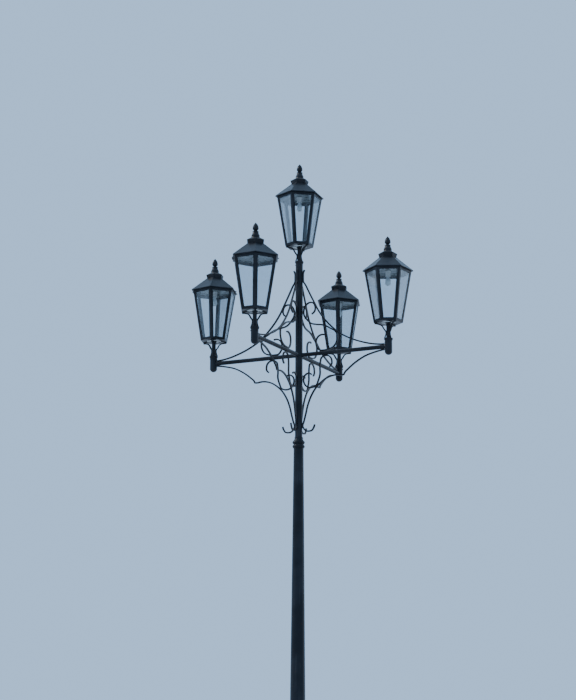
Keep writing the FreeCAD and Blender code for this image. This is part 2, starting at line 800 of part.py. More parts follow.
LONG_BAR = [
    (24, 884), (13, 864), (AT_SKIN, 836, -90), (AT_SKIN, 779, -90), (42, 709), (112, 569),
    (212, 389), (312, 269), (412, 179), (512, 119), (662, 57), (812, 18), (917, AT_SKIN, 0),
]
UPPER_SCROLL = [
    (252, 169), (202, 169), (167, 139), (157, 99), (167, 49), (196, 14), (244, AT_SKIN, 0),
    (302, 14), (352, 34), (387, 79), (397, 119), (390, 172), (366, 203), (322, 229), (272, 259),
    (222, 277), (162, 287), (102, 304), (52, 349), (17, 409), (22, 469), (47, 509), (82, 527),
    (122, 519), (146, 478), (142, 434), (107, 404),
]
OUTER_BAR = [
    (917, AT_SKIN, 180), (862, 14), (812, 24), (712, 51), (612, 101), (512, 174), (482, 201),
    (467, 229),
]
INNER_BAR = [
    (470, 225), (432, 227), (402, 222), (362, 222), (312, 231), (262, 251), (212, 284), (162, 329),
    (112, 399), (62, 519), (42, 599), (20, 679), (AT_SKIN, 717, 90), (24, 754), (52, 776),
    (82, 779), (112, 772), (127, 754), (142, 714),
]
LOWER_SCROLL = [
    (307, 129), (332, 104), (335, 69), (322, 34), (297, 13), (262, AT_SKIN, 180), (222, 24),
    (205, 79), (202, 129), (202, 199), (184, 259), (160, 309), (107, 329), (57, 317), (24, 279),
    (17, 229), (37, 191), (72, 177), (107, 194),
]


def laid_out(points, rise):
    """Layout points at their real places: (place, heading or None), out along X and up along Z."""
    lift = size("bar_thickness / 2 + fit_gap")
    reach = size(f"arm_reach - socket_diameter / 2 - {POST_RADIUS}")
    placed = []
    for out, up, *heading in points:
        out = lift if out is AT_SKIN else out * reach / LAYOUT_REACH
        up = lift if up is AT_SKIN else up * rise
        place = Vector(size(POST_RADIUS) + out, 0, size(ARM_RADIUS) + up)
        placed.append((place, math.radians(heading[0]) if heading else None))
    return placed


def headings(placed):
    """The direction of the bar at each point: as given, or that of the circle through three points."""
    places = [place for place, _ in placed]
    steps = [after - before for before, after in zip(places, places[1:])]
    chords = [Vector(step).normalize() for step in steps]
    found = [None] * len(placed)
    for number, (_, heading) in enumerate(placed):
        if heading is not None:
            found[number] = Vector(math.cos(heading), 0, math.sin(heading))
        elif 0 < number < len(steps):
            along = chords[number - 1] * steps[number].Length + chords[number] * steps[number - 1].Length
            found[number] = along.normalize()
    for end, beside, chord in ((0, 1, chords[0]), (-1, -2, chords[-1])):
        if found[end] is None:
            found[end] = chord * (2 * chord.dot(found[beside])) - found[beside]
    return places, found


def arc_pair(start, finish, leaving, arriving):
    """The point where two arcs meet that join two points smoothly in their headings."""
    gap = finish - start
    both = leaving + arriving
    spread = 2 * (1 - leaving.dot(arriving))
    if spread < SMALL:
        reach = gap.dot(gap) / (4 * gap.dot(leaving))
    else:
        along = gap.dot(both)
        reach = (math.sqrt(along**2 + spread * gap.dot(gap)) - along) / spread
    return (start + finish + (leaving - arriving) * reach) / 2


def flat_bar(placed, thickness):
    """The side view of a bar of one thickness bent through the points, as a face."""
    places, found = headings(placed)
    spans = []
    for number in range(len(places) - 1):
        start, finish = places[number], places[number + 1]
        middle = arc_pair(start, finish, found[number], found[number + 1])
        chord = (finish - middle).normalize()
        turned_back = chord * (2 * chord.dot(found[number + 1])) - found[number + 1]
        spans.append((start, middle, found[number], turned_back))
        spans.append((middle, finish, turned_back, found[number + 1]))
    sides = {1: [], -1: []}
    for start, finish, leaving, arriving in spans:
        chord = finish - start
        direction = Vector(chord).normalize()
        lean = leaving - direction * leaving.dot(direction)
        bulge = chord.Length / 2 * math.tan(math.acos(min(1, leaving.dot(direction))) / 2)
        crown = (start + finish) / 2 + (lean.normalize() * bulge if lean.Length > SMALL else Vector())
        for side, edges in sides.items():
            offset = side * thickness / 2
            near, top, far = (
                place + Vector(-way.z, 0, way.x) * offset
                for place, way in ((start, leaving), (crown, direction), (finish, arriving))
            )
            straight = bulge < SMALL
            edges.append(Part.LineSegment(near, far) if straight else Part.Arc(near, top, far))
    left = [edge.toShape() for edge in sides[1]]
    right = [edge.toShape() for edge in sides[-1]]
    caps = [
        Part.LineSegment(sides[1][-1].EndPoint, sides[-1][-1].EndPoint).toShape(),
        Part.LineSegment(sides[-1][0].StartPoint, sides[1][0].StartPoint).toShape(),
    ]
    wire = Part.Wire(left + caps[:1] + right[::-1] + caps[1:])
    return Part.Face(wire)


def scroll_outline():
    """Side view of all the bars of one arm, those above welded together and those below too."""
    thickness = size("bar_thickness")
    rise = size(f"upper_bracket_height - {ARM_RADIUS}") / LAYOUT_RISE
    drop = size(f"lower_bracket_depth - {ARM_RADIUS}") / LAYOUT_DROP
    upper = [flat_bar(laid_out(bar, rise), thickness) for bar in (LONG_BAR, UPPER_SCROLL)]
    lower = [flat_bar(laid_out(bar, drop), thickness) for bar in (OUTER_BAR, INNER_BAR, LOWER_SCROLL)]
    above = upper[0].fuse(upper[1:]).removeSplitter()
    below = lower[0].fuse(lower[1:]).removeSplitter().mirror(Vector(), Vector(0, 0, 1))
    outline = doc.addObject("Part::Feature", "scroll_outline")
    outline.Shape = Part.makeCompound(above.Faces + below.Faces)
    return outline


# --- lantern, drawn about its own axis with its height counted from the socket's lip -----------

# One leg in its own plane, as (out, up) or (out, up, heading), for a stem and a rim of these radii.
LAYOUT_STEM = 21
LAYOUT_RIM = 146
LEG_CURVE = [
    (42, 6.5, 165), (33, 20), (26, 42), (24, 62, 90), (29, 80), (40, 94), (52, 114), (62, 131),
    (80, 144), (108, 153), (140, 158, 0),
]
LEG_ANGLES = (60, 180, 300)


def leg_points():
    """The leg's curve, between the foot disc and the underside of the frame's rim."""
    lift = size("rim_height - leg_thickness / 2") / LEG_CURVE[-1][1]
    placed = []
    for out, up, *heading in LEG_CURVE:
        share = up / LEG_CURVE[-1][1]
        at_stem = (size(STEM_RADIUS) - LAYOUT_STEM) * (1 - share)
        at_rim = (size("rim_radius") - LAYOUT_RIM) * share
        place = Vector(out + at_stem + at_rim, 0, up * lift)
        placed.append((place, math.radians(heading[0]) if heading else None))
    return placed


def cradle_pattern():
    """Cast cradle: a stem that stands in the socket, a foot disc and three curved legs."""
    stem = turned("stem", [
        (f"{STEM_RADIUS} - stem_wall", "stem_gap - socket_bore_depth"),
        (STEM_RADIUS, "stem_gap - socket_bore_depth"),
        (STEM_RADIUS, "0"),
        ("foot_disc_radius", "0"),
        ("foot_disc_radius", "foot_disc_height"),
        (STEM_RADIUS, "foot_disc_height + foot_disc_cone"),
        (STEM_RADIUS, "rim_height - head_disc_height - foot_disc_cone"),
        ("floor_hub_radius", "rim_height - head_disc_height"),
        ("floor_hub_radius", "rim_height"),
        (f"{STEM_RADIUS} - stem_wall", "rim_height"),
    ])
    outline = doc.addObject("Part::Feature", "leg_outline")
    outline.Shape = flat_bar(leg_points(), size("leg_thickness"))
    legs = []
    for angle in LEG_ANGLES:
        leg = doc.addObject("Part::Extrusion", "leg")
        leg.Base = outline
        leg.DirMode = "Custom"
        leg.Dir = Vector(0, 1, 0)
        leg.Symmetric = True
        leg.Solid = True
        bind(leg, "LengthFwd", "leg_width")
        leg.Placement = FreeCAD.Placement(Vector(), FreeCAD.Rotation(Vector(0, 0, 1), angle))
        legs.append(leg)
    cradle = doc.addObject("Part::MultiFuse", "cradle_pattern")
    cradle.Shapes = [stem] + legs
    return cradle


def frame_radius(above_rim):
    """Corner radius of the frame's outside at a height above its lower rim."""
    return f"(rim_radius + (frame_top_radius - rim_radius) * ({above_rim}) / frame_height)"


def inside_radius(above_rim):
    """Corner radius of the frame's inside at a height above its lower rim."""
    return f"({frame_radius(above_rim)} - frame_wall / cos({FRAME_LEAN}) / cos(30))"


def floor_sector(radius, bar_half_width, hub_radius):
    """Outline of one third of the floor, between the bars at -60 and 60 degrees, about +X."""
    along_bar = f"sqrt({hub_radius}^2 - {bar_half_width}^2)"
    hub = (f"{along_bar} / 2 + {bar_half_width} * cos(30)", f"{along_bar} * cos(30) - {bar_half_width} / 2")
    inset = f"({bar_half_width} / cos(30))"
    rim = (f"{radius} / 2 + {inset} / 2", f"({radius} - {inset}) * cos(30)")
    return [
        (hub[0], f"-({hub[1]})"),
        (rim[0], f"-({rim[1]})"),
        (radius, "0"),
        rim,
        (*hub, f"-{hub_radius}"),
    ]


def frame_pattern():
    """Soldered frame: two rims, six corner bars, three floor bars and the fixed half of the hinge."""
    body = new_body("frame_pattern")
    block = hexagonal_taper(body, "rim_radius", "frame_top_radius", "rim_height", "frame_height")
    shell(body, block, "frame_wall", lambda normal, centre: normal.z > NEARLY_UPRIGHT)
    floor = new_sketch(body, "XY_Plane", lift="rim_height")
    lip_radius = "(rim_radius - floor_lip / cos(30))"
    add_outline(floor, floor_sector(lip_radius, "(floor_bar_width / 2)", "floor_hub_radius"))
    around(body, pocket(body, floor, "frame_wall * 4", centred=True), 3)
    hub_hole = new_sketch(body, "XY_Plane", lift="rim_height")
    add_circle(hub_hole, "0", "0", "floor_hole_radius")
    pocket(body, hub_hole, "frame_wall * 4", centred=True)
    window = new_sketch(body, "XZ_Plane")
    low_half = f"({frame_radius('low_band')} / 2 - corner_flange)"
    high_half = f"({frame_radius('frame_height - high_band')} / 2 - corner_flange)"
    add_outline(window, [
        (f"-{low_half}", "rim_height + low_band"),
        (low_half, "rim_height + low_band"),
        (high_half, "rim_height + frame_height - high_band"),
        (f"-{high_half}", "rim_height + frame_height - high_band"),
    ])
    around(body, pocket(body, window, "frame_top_radius"), 6)
    rim_top = "(rim_height + frame_height)"
    outer = "(hinge_knuckle_length / 2 + hinge_knuckle_gap)"
    for start in (outer, f"(-{outer} - hinge_knuckle_length)"):
        knuckle = new_sketch(body, "YZ_Plane", lift=start)
        add_circle(knuckle, ROOF_HINGE_OUT, ROOF_HINGE_HEIGHT, "hinge_knuckle_radius")
        pad(body, knuckle, "hinge_knuckle_length")
        leaf = new_sketch(body, "YZ_Plane", lift=start)
        add_rectangle(leaf, "frame_top_radius * cos(30) - frame_wall / 2",
                      f"{rim_top} - hinge_leaf_thickness", ROOF_HINGE_OUT, rim_top)
        pad(body, leaf, "hinge_knuckle_length")
    hinge_pin = new_sketch(body, "YZ_Plane")
    add_circle(hinge_pin, ROOF_HINGE_OUT, ROOF_HINGE_HEIGHT, "hinge_pin_radius")
    pad(body, hinge_pin, "3 * hinge_knuckle_length + 2 * hinge_knuckle_gap", centred=True)
    return body


def side_glass_pattern():
    """Six panes of clear glass, each lapping behind its window's edges."""
    body = new_body("side_glass_pattern")
    low = "(low_band - glass_lap)"
    high = "(frame_height - high_band + glass_lap)"
    block = hexagonal_taper(
        body,
        f"({inside_radius(low)} - glass_seat_gap)",
        f"({inside_radius(high)} - glass_seat_gap)",
        f"(rim_height + {low})",
        f"({high} - {low})",
    )
    shell(body, block, "glass_thickness", lambda normal, centre: abs(normal.z) > NEARLY_UPRIGHT)
    corner = new_sketch(body, "XY_Plane", lift="rim_height")
    add_rectangle(corner, "0", "-glass_gap / 2", "frame_top_radius", "glass_gap / 2")
    around(body, pocket(body, corner, "frame_height", reversed_way=True), 6)
    return body


def floor_glass_pattern():
    """Three frosted panes that lie on the floor's lip and bars."""
    body = new_body("floor_glass_pattern")
    sketch = new_sketch(body, "XY_Plane", lift="rim_height + frame_wall")
    radius = f"({inside_radius('frame_wall')} - glass_gap)"
    add_outline(sketch, floor_sector(radius, "(glass_gap / 2)", "(floor_hole_radius + glass_gap)"))
    around(body, pad(body, sketch, "glass_thickness"), 3)
    return body


def roof_pattern():
    """Six-sided sheet roof with an eave band, an inner ledge and the moving half of the hinge."""
    body = new_body("roof_pattern")
    hexagonal_taper(body, EAVE_RADIUS, "roof_top_radius", f"({EAVE_HEIGHT} + eave_band)",
                    "(roof_rise - eave_band)")
    band = new_sketch(body, "XY_Plane", lift=EAVE_HEIGHT)
    add_hexagon(band, EAVE_RADIUS)
    solid = pad(body, band, "eave_band")
    shell(body, solid, "roof_wall", lambda normal, centre: normal.z > NEARLY_UPRIGHT)
    opening = new_sketch(body, "XY_Plane", lift=EAVE_HEIGHT)
    add_hexagon(opening, "(frame_top_radius - eave_ledge)")
    pocket(body, opening, "roof_wall * 4", centred=True)
    knuckle = new_sketch(body, "YZ_Plane")
    add_circle(knuckle, ROOF_HINGE_OUT, ROOF_HINGE_HEIGHT, "hinge_knuckle_radius")
    pad(body, knuckle, "hinge_knuckle_length", centred=True)
    web = new_sketch(body, "YZ_Plane")
    add_rectangle(web, f"{EAVE_FLAT} - roof_wall / 2", EAVE_HEIGHT, ROOF_HINGE_OUT,
                  f"{ROOF_HINGE_HEIGHT} + hinge_knuckle_radius")
    pad(body, web, "hinge_knuckle_length", centred=True)
    bore = new_sketch(body, "YZ_Plane")
    add_circle(bore, ROOF_HINGE_OUT, ROOF_HINGE_HEIGHT, "hinge_pin_radius + running_clearance")
    pocket(body, bore, "hinge_knuckle_length * 2", centred=True)
    return body


def finial_pattern():
    """Vent cap with its concave slope, cone, disc and acorn, cast in one."""
    body = new_body("finial_pattern")
    hexagonal_taper(body, "roof_top_radius", CAP_RIM, CAP_SEAT, "cap_band")
    slope = f"({CAP_SEAT} + cap_band)"
    hexagonal_taper(body, CAP_RIM, CAP_SLOPE_TOP, slope, "cap_slope_height")
    profile = new_sketch(body, "XZ_Plane")
    cone = f"({slope} + cap_slope_height)"
    cone_top = f"({cone} + cone_mid_height + cone_top_height)"
    disc_top = f"({cone_top} + finial_disc_height)"
    acorn = f"({disc_top} + finial_neck_height)"
    cone_foot = f"({CAP_SLOPE_TOP} * cos(30) - cone_inset)"
    add_outline(profile, [
        ("0", f"{cone} - cap_slope_height / 2"),
        (cone_foot, f"{cone} - cap_slope_height / 2"),
        (cone_foot, cone, "-cone_curve_radius"),
        ("cone_mid_radius", f"{cone} + cone_mid_height", "-cone_curve_radius * 2"),
        ("cone_top_radius", cone_top),
        ("finial_disc_radius", cone_top),
        ("finial_disc_radius", disc_top),
        ("finial_neck_radius", disc_top, "-finial_neck_curve"),
        ("finial_neck_radius", acorn, "acorn_radius"),
        ("acorn_radius", f"{acorn} + acorn_radius / 2 + finial_neck_radius / 4", "acorn_side_radius"),
        ("acorn_tip_radius", f"{acorn} + acorn_height - acorn_tip_radius", "acorn_tip_radius"),
        ("0", f"{acorn} + acorn_height"),
    ])
    revolve(body, profile)
    hollow = new_sketch(body, "XY_Plane", lift=CAP_SEAT)
    add_circle(hollow, "0", "0", "roof_top_radius * cos(30) - cap_wall")
    pocket(body, hollow, "cap_band", reversed_way=True)
    return body


def reflector_pattern():
    """Six-sided enamelled plate on the roof's ledge, with the lampholder below its middle."""
    body = new_body("reflector_pattern")
    plate = new_sketch(body, "XY_Plane", lift=HOLDER_TOP)
    add_hexagon(plate, f"({EAVE_RADIUS} - reflector_inset)")
    pad(body, plate, "reflector_thickness")
    holder = new_sketch(body, "XY_Plane", lift=HOLDER_BOTTOM)
    add_circle(holder, "0", "0", "lampholder_diameter / 2")
    pad(body, holder, "lampholder_drop")
    bore = new_sketch(body, "XY_Plane", lift=HOLDER_BOTTOM)
    add_circle(bore, "0", "0", "lamp_cap_radius + lamp_cap_gap")
    pocket(body, bore, "lamp_cap_length + 2 * lamp_cap_gap", reversed_way=True)
    return body


def bulb_pattern():
    """Long glass bulb with its screw cap, hanging cap up in the lampholder."""
    tip = f"({HOLDER_BOTTOM} - bulb_length)"
    neck = f"({HOLDER_BOTTOM} - lamp_cap_gap)"
    return turned("bulb_pattern", [
        ("0", tip, "bulb_radius"),
        ("bulb_radius", f"{tip} + bulb_radius"),
        ("bulb_radius", f"{tip} + bulb_length / 2"),
        ("bulb_neck_radius", f"{neck} - bulb_neck_height"),
        ("bulb_neck_radius", neck),
        ("lamp_cap_radius", neck),
        ("lamp_cap_radius", f"{neck} + lamp_cap_length"),
        ("0", f"{neck} + lamp_cap_length"),
    ])


# --- assembly ---------------------------------------------------------------------------------

ARM_DIRECTIONS = {"east": 0, "north": 90, "west": 180, "south": 270}


def place(node, east, north, height, turn):
    """Stand a node at a place on the sheet's values, turned about its vertical axis."""
    node.Placement = FreeCAD.Placement(Vector(), FreeCAD.Rotation(Vector(0, 0, 1), 1))
    bind(node, "Placement.Base.x", east)
    bind(node, "Placement.Base.y", north)
    bind(node, "Placement.Base.z", height)
    bind(node, "Placement.Rotation.Angle", turn)


def copy_of(pattern, label):
    """A body of its own with the shape of a pattern."""
    body = new_body(label)
    body.BaseFeature = pattern
    return body


nodes = [
    base_flange(),
    base_gussets(),
    base_tube(),
    base_ring(),
    tapered_shaft(),
    shaft_collar(),
    upper_post(),
    top_socket(),
    service_door(),
    door_hinges(),
    door_lock(),
    fuse_box(),
]

arm = arm_pattern()
scrolls = scroll_outline()
for side, angle in ARM_DIRECTIONS.items():
    arm_node = copy_of(arm, f"arm_{side}")
    place(arm_node, "0", "0", "arm_axis_height", str(angle))
    scroll_node = doc.addObject("Part::Extrusion", f"scrollwork_{side}")
    scroll_node.Label = f"scrollwork_{side}"
    scroll_node.Base = scrolls
    scroll_node.DirMode = "Custom"
    scroll_node.Dir = Vector(0, 1, 0)
    scroll_node.Symmetric = True
    scroll_node.Solid = True
    bind(scroll_node, "LengthFwd", "bar_width")
    place(scroll_node, "0", "0", "arm_axis_height", str(angle))
    nodes += [arm_node, scroll_node]

lantern_patterns = {
    "cradle": cradle_pattern(),
    "frame": frame_pattern(),
    "side_glass": side_glass_pattern(),
    "floor_glass": floor_glass_pattern(),
    "roof": roof_pattern(),
    "finial": finial_pattern(),
    "reflector": reflector_pattern(),
    "bulb": bulb_pattern(),
}
lantern_places = {"top": ("0", "0", "arm_axis_height + top_seat_rise")}
for side, angle in ARM_DIRECTIONS.items():
    lantern_places[side] = (
        f"arm_reach * cos({angle})",
        f"arm_reach * sin({angle})",
        "arm_axis_height + socket_rise",
    )
for side, stand in lantern_places.items():
    for kind, pattern in lantern_patterns.items():
        piece = copy_of(pattern, f"{kind}_{side}")
        place(piece, *stand, f"{side}_lantern_faces - 90")
        nodes.append(piece)

doc.recompute()
for item in doc.Objects:
    if {"Invalid", "Error"} & set(item.State):
        raise RuntimeError(f"{item.Label} ({item.Name}) could not be computed: {item.State}")
for node in nodes:
    if node.Shape.isNull() or not node.Shape.isValid() or not node.Shape.Solids:
        raise RuntimeError(f"{node.Label} is not a valid solid")

os.makedirs("parts", exist_ok=True)
for node in nodes:
    node.Shape.exportStep(f"parts/{node.Label}.step")
print(f"{len(nodes)} nodes, {sum(len(node.Shape.Solids) for node in nodes)} solids")
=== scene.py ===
import json
import math
import random

import bpy
from mathutils import Matrix, Vector


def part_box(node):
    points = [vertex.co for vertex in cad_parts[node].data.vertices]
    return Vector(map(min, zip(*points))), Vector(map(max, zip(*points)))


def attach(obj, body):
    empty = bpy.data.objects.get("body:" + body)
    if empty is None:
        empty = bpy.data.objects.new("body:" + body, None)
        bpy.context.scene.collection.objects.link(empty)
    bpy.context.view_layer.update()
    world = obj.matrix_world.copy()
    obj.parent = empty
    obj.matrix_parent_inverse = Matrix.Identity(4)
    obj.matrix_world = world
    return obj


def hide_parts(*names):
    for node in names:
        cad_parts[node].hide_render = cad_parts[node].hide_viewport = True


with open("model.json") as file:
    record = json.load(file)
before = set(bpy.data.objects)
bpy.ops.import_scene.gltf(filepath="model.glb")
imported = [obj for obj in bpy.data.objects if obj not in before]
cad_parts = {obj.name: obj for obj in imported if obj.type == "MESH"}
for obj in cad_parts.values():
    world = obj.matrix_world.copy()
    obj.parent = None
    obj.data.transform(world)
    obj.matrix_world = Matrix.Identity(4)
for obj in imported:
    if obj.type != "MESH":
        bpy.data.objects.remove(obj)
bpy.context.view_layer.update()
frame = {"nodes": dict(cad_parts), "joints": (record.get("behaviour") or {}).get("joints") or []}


# --- The foundation plate ---------------------------------------------------------------------
# The post stands on a square steel plate with four gussets, all black gloss paint over zinc.
# The paint is rolled on thick, so it has a fine orange peel, and it holds dust where it lies
# level, pale rain tracks where it stands, and a few rusted chips.

MM = 0.001


class Link:
    """One output of a shader node, so that shader maths can be written as plain expressions."""

    def __init__(self, finish, socket):
        self.finish, self.socket = finish, socket

    def __add__(self, other):
        return self.finish.maths("ADD", self, other)

    def __sub__(self, other):
        return self.finish.maths("SUBTRACT", self, other)

    def __rsub__(self, other):
        return self.finish.maths("SUBTRACT", other, self)

    def __mul__(self, other):
        return self.finish.maths("MULTIPLY", self, other)

    def __pow__(self, other):
        return self.finish.maths("POWER", self, other)

    __radd__, __rmul__ = __add__, __mul__


class Finish:
    """One material: the constants of its surface and the nodes that vary over it."""

    def __init__(self, name, **constants):
        self.material = bpy.data.materials.new(name)
        self.material.use_nodes = True
        self.tree = self.material.node_tree
        self.surface = self.tree.nodes["Principled BSDF"]
        for socket, value in constants.items():
            self.surface.inputs[socket.replace("_", " ")].default_value = value
        self.place = self.add("ShaderNodeTexCoord", output="Object")

    def add(self, kind, settings=None, sockets=None, output=0):
        node = self.tree.nodes.new(kind)
        for name, value in (settings or {}).items():
            setattr(node, name, value)
        for name, value in (sockets or {}).items():
            self.join(node.inputs[name], value)
        return Link(self, node.outputs[output])

    def join(self, socket, value):
        if isinstance(value, Link):
            self.tree.links.new(value.socket, socket)
        elif isinstance(value, tuple) and len(value) == 3 and socket.type == "RGBA":
            socket.default_value = (*value, 1)
        else:
            socket.default_value = value

    def maths(self, operation, first, second=0.0):
        return self.add("ShaderNodeMath", {"operation": operation}, {0: first, 1: second})

    def noise(self, scale, detail=3.0, stretch=(1, 1, 1)):
        """Cloudy pattern with this many lumps to a metre, squeezed by stretch along X, Y and Z."""
        spread = self.add("ShaderNodeMapping", None, {"Vector": self.place, "Scale": stretch})
        return self.add(
            "ShaderNodeTexNoise", None, {"Vector": spread, "Scale": scale, "Detail": detail}
        )

    def rise(self, value, low, high):
        """0 below low, 1 above high, smooth between them."""
        return self.add(
            "ShaderNodeMapRange",
            {"interpolation_type": "SMOOTHSTEP"},
            {"Value": value, "From Min": low, "From Max": high},
        )

    def blend(self, share, first, second):
        """The first colour, turning to the second where share nears 1."""
        return self.add(
            "ShaderNodeMix",
            {"data_type": "RGBA"},
            {0: share, 6: first, 7: second},
            output=2,
        )

    def facing_up(self):
        """How far the surface faces up, from -1 to 1, in the piece's own frame."""
        normal = self.add("ShaderNodeTexCoord", output="Normal")
        return self.add("ShaderNodeSeparateXYZ", None, {"Vector": normal}, output="Z")

    def colour(self, value):
        self.join(self.surface.inputs["Base Color"], value)

    def roughness(self, value):
        self.join(self.surface.inputs["Roughness"], value)

    def relief(self, height, depth):
        """Bumps of this real depth, in metres, from a height of 0 to 1."""
        normal = self.add(
            "ShaderNodeBump", None, {"Height": height, "Distance": depth, "Strength": 1.0}
        )
        self.join(self.surface.inputs["Normal"], normal)


BLACK_PAINT = (0.0050, 0.0062, 0.0092)
FADED_PAINT = (0.016, 0.0185, 0.0245)
DUST = (0.105, 0.10, 0.09)
RAIN_TRACK = (0.05, 0.051, 0.053)
RUST = (0.075, 0.026, 0.012)
RUST_EDGE = (0.028, 0.014, 0.010)


def black_paint(name, lumps, lump_depth, gloss, dustiness, chips):
    """Black paint over metal whose own surface has lumps of this many to a metre and this depth."""
    paint = Finish(name, Coat_Roughness=0.10, Specular_IOR_Level=0.17, IOR=1.45)
    clouds = paint.noise(3.2, 5.0)
    mottle = paint.noise(21.0, 4.0)
    level = paint.rise(paint.facing_up(), 0.30, 0.92)
    dust = level * paint.rise(mottle + clouds * 0.5, 0.45, 0.95) * dustiness
    upright = 1 - paint.rise(paint.facing_up() ** 2.0, 0.10, 0.55)
    tracks = paint.noise(1.0, 4.0, stretch=(46, 46, 1.7))
    washed = paint.rise(tracks, 0.56, 0.74) * upright * paint.rise(clouds, 0.40, 0.62)
    speckle = paint.noise(165.0, 2.0) + mottle * 0.35
    chipped = paint.rise(speckle, chips, chips + 0.02)
    halo = paint.rise(speckle, chips - 0.06, chips + 0.01) * 0.7
    painted = paint.blend(paint.rise(clouds, 0.38, 0.70), BLACK_PAINT, FADED_PAINT)
    painted = paint.blend(washed * 0.55, painted, RAIN_TRACK)
    painted = paint.blend(dust, painted, DUST)
    painted = paint.blend(halo, painted, RUST_EDGE)
    paint.colour(paint.blend(chipped, painted, RUST))
    dull = dust * 0.5 + washed * 0.22 + halo * 0.45
    paint.roughness(gloss + mottle * 0.16 + dull)
    paint.join(paint.surface.inputs["Coat Weight"], 0.14 - paint.rise(dull, 0.0, 0.4) * 0.13)
    peel = paint.noise(620.0, 2.0) * 0.12
    paint.relief(paint.noise(lumps, 3.0) + peel - chipped * 0.5, lump_depth)
    return paint


def coat(finish, *names):
    """Give CAD nodes a finish in place of the plain one."""
    for name in names:
        for held in frame["nodes"][name].material_slots:
            held.material = finish.material


def in_metres(outline):
    """An outline drawn in millimetres, in the frame's metres."""
    return [(radius * MM, height * MM) for radius, height in outline]


class Form:
    """The points and faces of one piece, put together shape by shape."""

    def __init__(self):
        self.points, self.faces = [], []

    def add(self, points, faces, at=None):
        start = len(self.points)
        self.points += [at @ Vector(point) if at else Vector(point) for point in points]
        self.faces += [tuple(start + corner for corner in face) for face in faces]

    def placed(self, at):
        """A copy of this form at its place on the object."""
        copy = Form()
        copy.add(self.points, self.faces, at)
        return copy

    def turn(self, outline, at=None, sides=32, closed=True):
        """Turn an outline of (radius, height) about Z, from the bottom up; closed ends are flat."""
        points = [
            (radius * math.cos(angle), radius * math.sin(angle), height)
            for radius, height in outline
            for angle in (2 * math.pi * side / sides for side in range(sides))
        ]
        faces = []
        for low in range(0, sides * (len(outline) - 1), sides):
            high = low + sides
            faces += [
                (low + side, low + (side + 1) % sides, high + (side + 1) % sides, high + side)
                for side in range(sides)
            ]
        if closed:
            faces.append(tuple(reversed(range(sides))))
            faces.append(tuple(range(len(points) - sides, len(points))))
        self.add(points, faces, at)

    def ring(self, middle, size, sides=64, rough=0.0, seed=0):
        """A bead of round section around Z: middle is its (radius, height), rough its waviness."""
        path = [
            (middle[0] * math.cos(a), middle[0] * math.sin(a), middle[1])
            for a in (2 * math.pi * side / sides for side in range(sides))
        ]
        self.loop(path, size, rough=rough, seed=seed)

    def loop(self, path, size, at=None, rough=0.0, seed=0, closed=True):
        """A bead of this radius along points; its ends are closed where it isn't a loop."""
        corners = 8
        draw = random.Random(seed)
        path = [Vector(point) for point in path]
        count = len(path)
        points, faces = [], []
        side_way = None
        for number, point in enumerate(path):
            before = path[number - 1] if closed or number else point
            after = path[(number + 1) % count] if closed or number < count - 1 else point
            way = (after - before).normalized()
            if side_way is None:
                side_way = way.orthogonal().normalized()
            side_way = (side_way - way * side_way.dot(way)).normalized()
            up = way.cross(side_way)
            radius = size * (1 + rough * draw.uniform(-1, 1))
            points += [
                point + (side_way * math.cos(a) + up * math.sin(a)) * radius
                for a in (2 * math.pi * corner / corners for corner in range(corners))
            ]
        for number in range(count if closed else count - 1):
            low, high = number * corners, (number + 1) % count * corners
            faces += [
                (low + c, low + (c + 1) % corners, high + (c + 1) % corners, high + c)
                for c in range(corners)
            ]
        if not closed:
            faces.append(tuple(reversed(range(corners))))
            faces.append(tuple(range(len(points) - corners, len(points))))
        self.add(points, faces, at)

    def piece(self, name, finish, body, slot=None, sharp=35):
        """Make the piece, smooth but for edges sharper than this many degrees, on its body."""
        mesh = bpy.data.meshes.new(name)
        mesh.from_pydata(self.points, [], self.faces)
        mesh.update()
        mesh.polygons.foreach_set("use_smooth", [True] * len(mesh.polygons))
        mesh.set_sharp_from_angle(angle=math.radians(sharp))
        mesh.materials.append(finish.material)
        made = bpy.data.objects.new(name, mesh)
        bpy.context.scene.collection.objects.link(made)
        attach(made, body)
        return made


STEEL = black_paint("rolled_steel_paint", 38, 0.5 * MM, 0.24, 0.45, 0.905)
coat(STEEL, "base_flange", "base_gussets")

zinc = Finish("hot_dip_zinc", Metallic=1.0)
spangle = zinc.add(
    "ShaderNodeTexVoronoi", None, {"Vector": zinc.place, "Scale": 260.0}, output="Color"
)
flake = zinc.add("ShaderNodeSeparateXYZ", None, {"Vector": spangle}, output="X")
white_rust = zinc.rise(zinc.noise(70.0, 4.0), 0.52, 0.72)
bright_zinc = zinc.blend(flake, (0.36, 0.37, 0.38), (0.55, 0.56, 0.58))
zinc.colour(zinc.blend(white_rust, bright_zinc, (0.42, 0.42, 0.40)))
zinc.roughness(0.38 + flake * 0.14 + white_rust * 0.25)
zinc.relief(flake * 0.4 + zinc.noise(400.0, 2.0), 0.12 * MM)

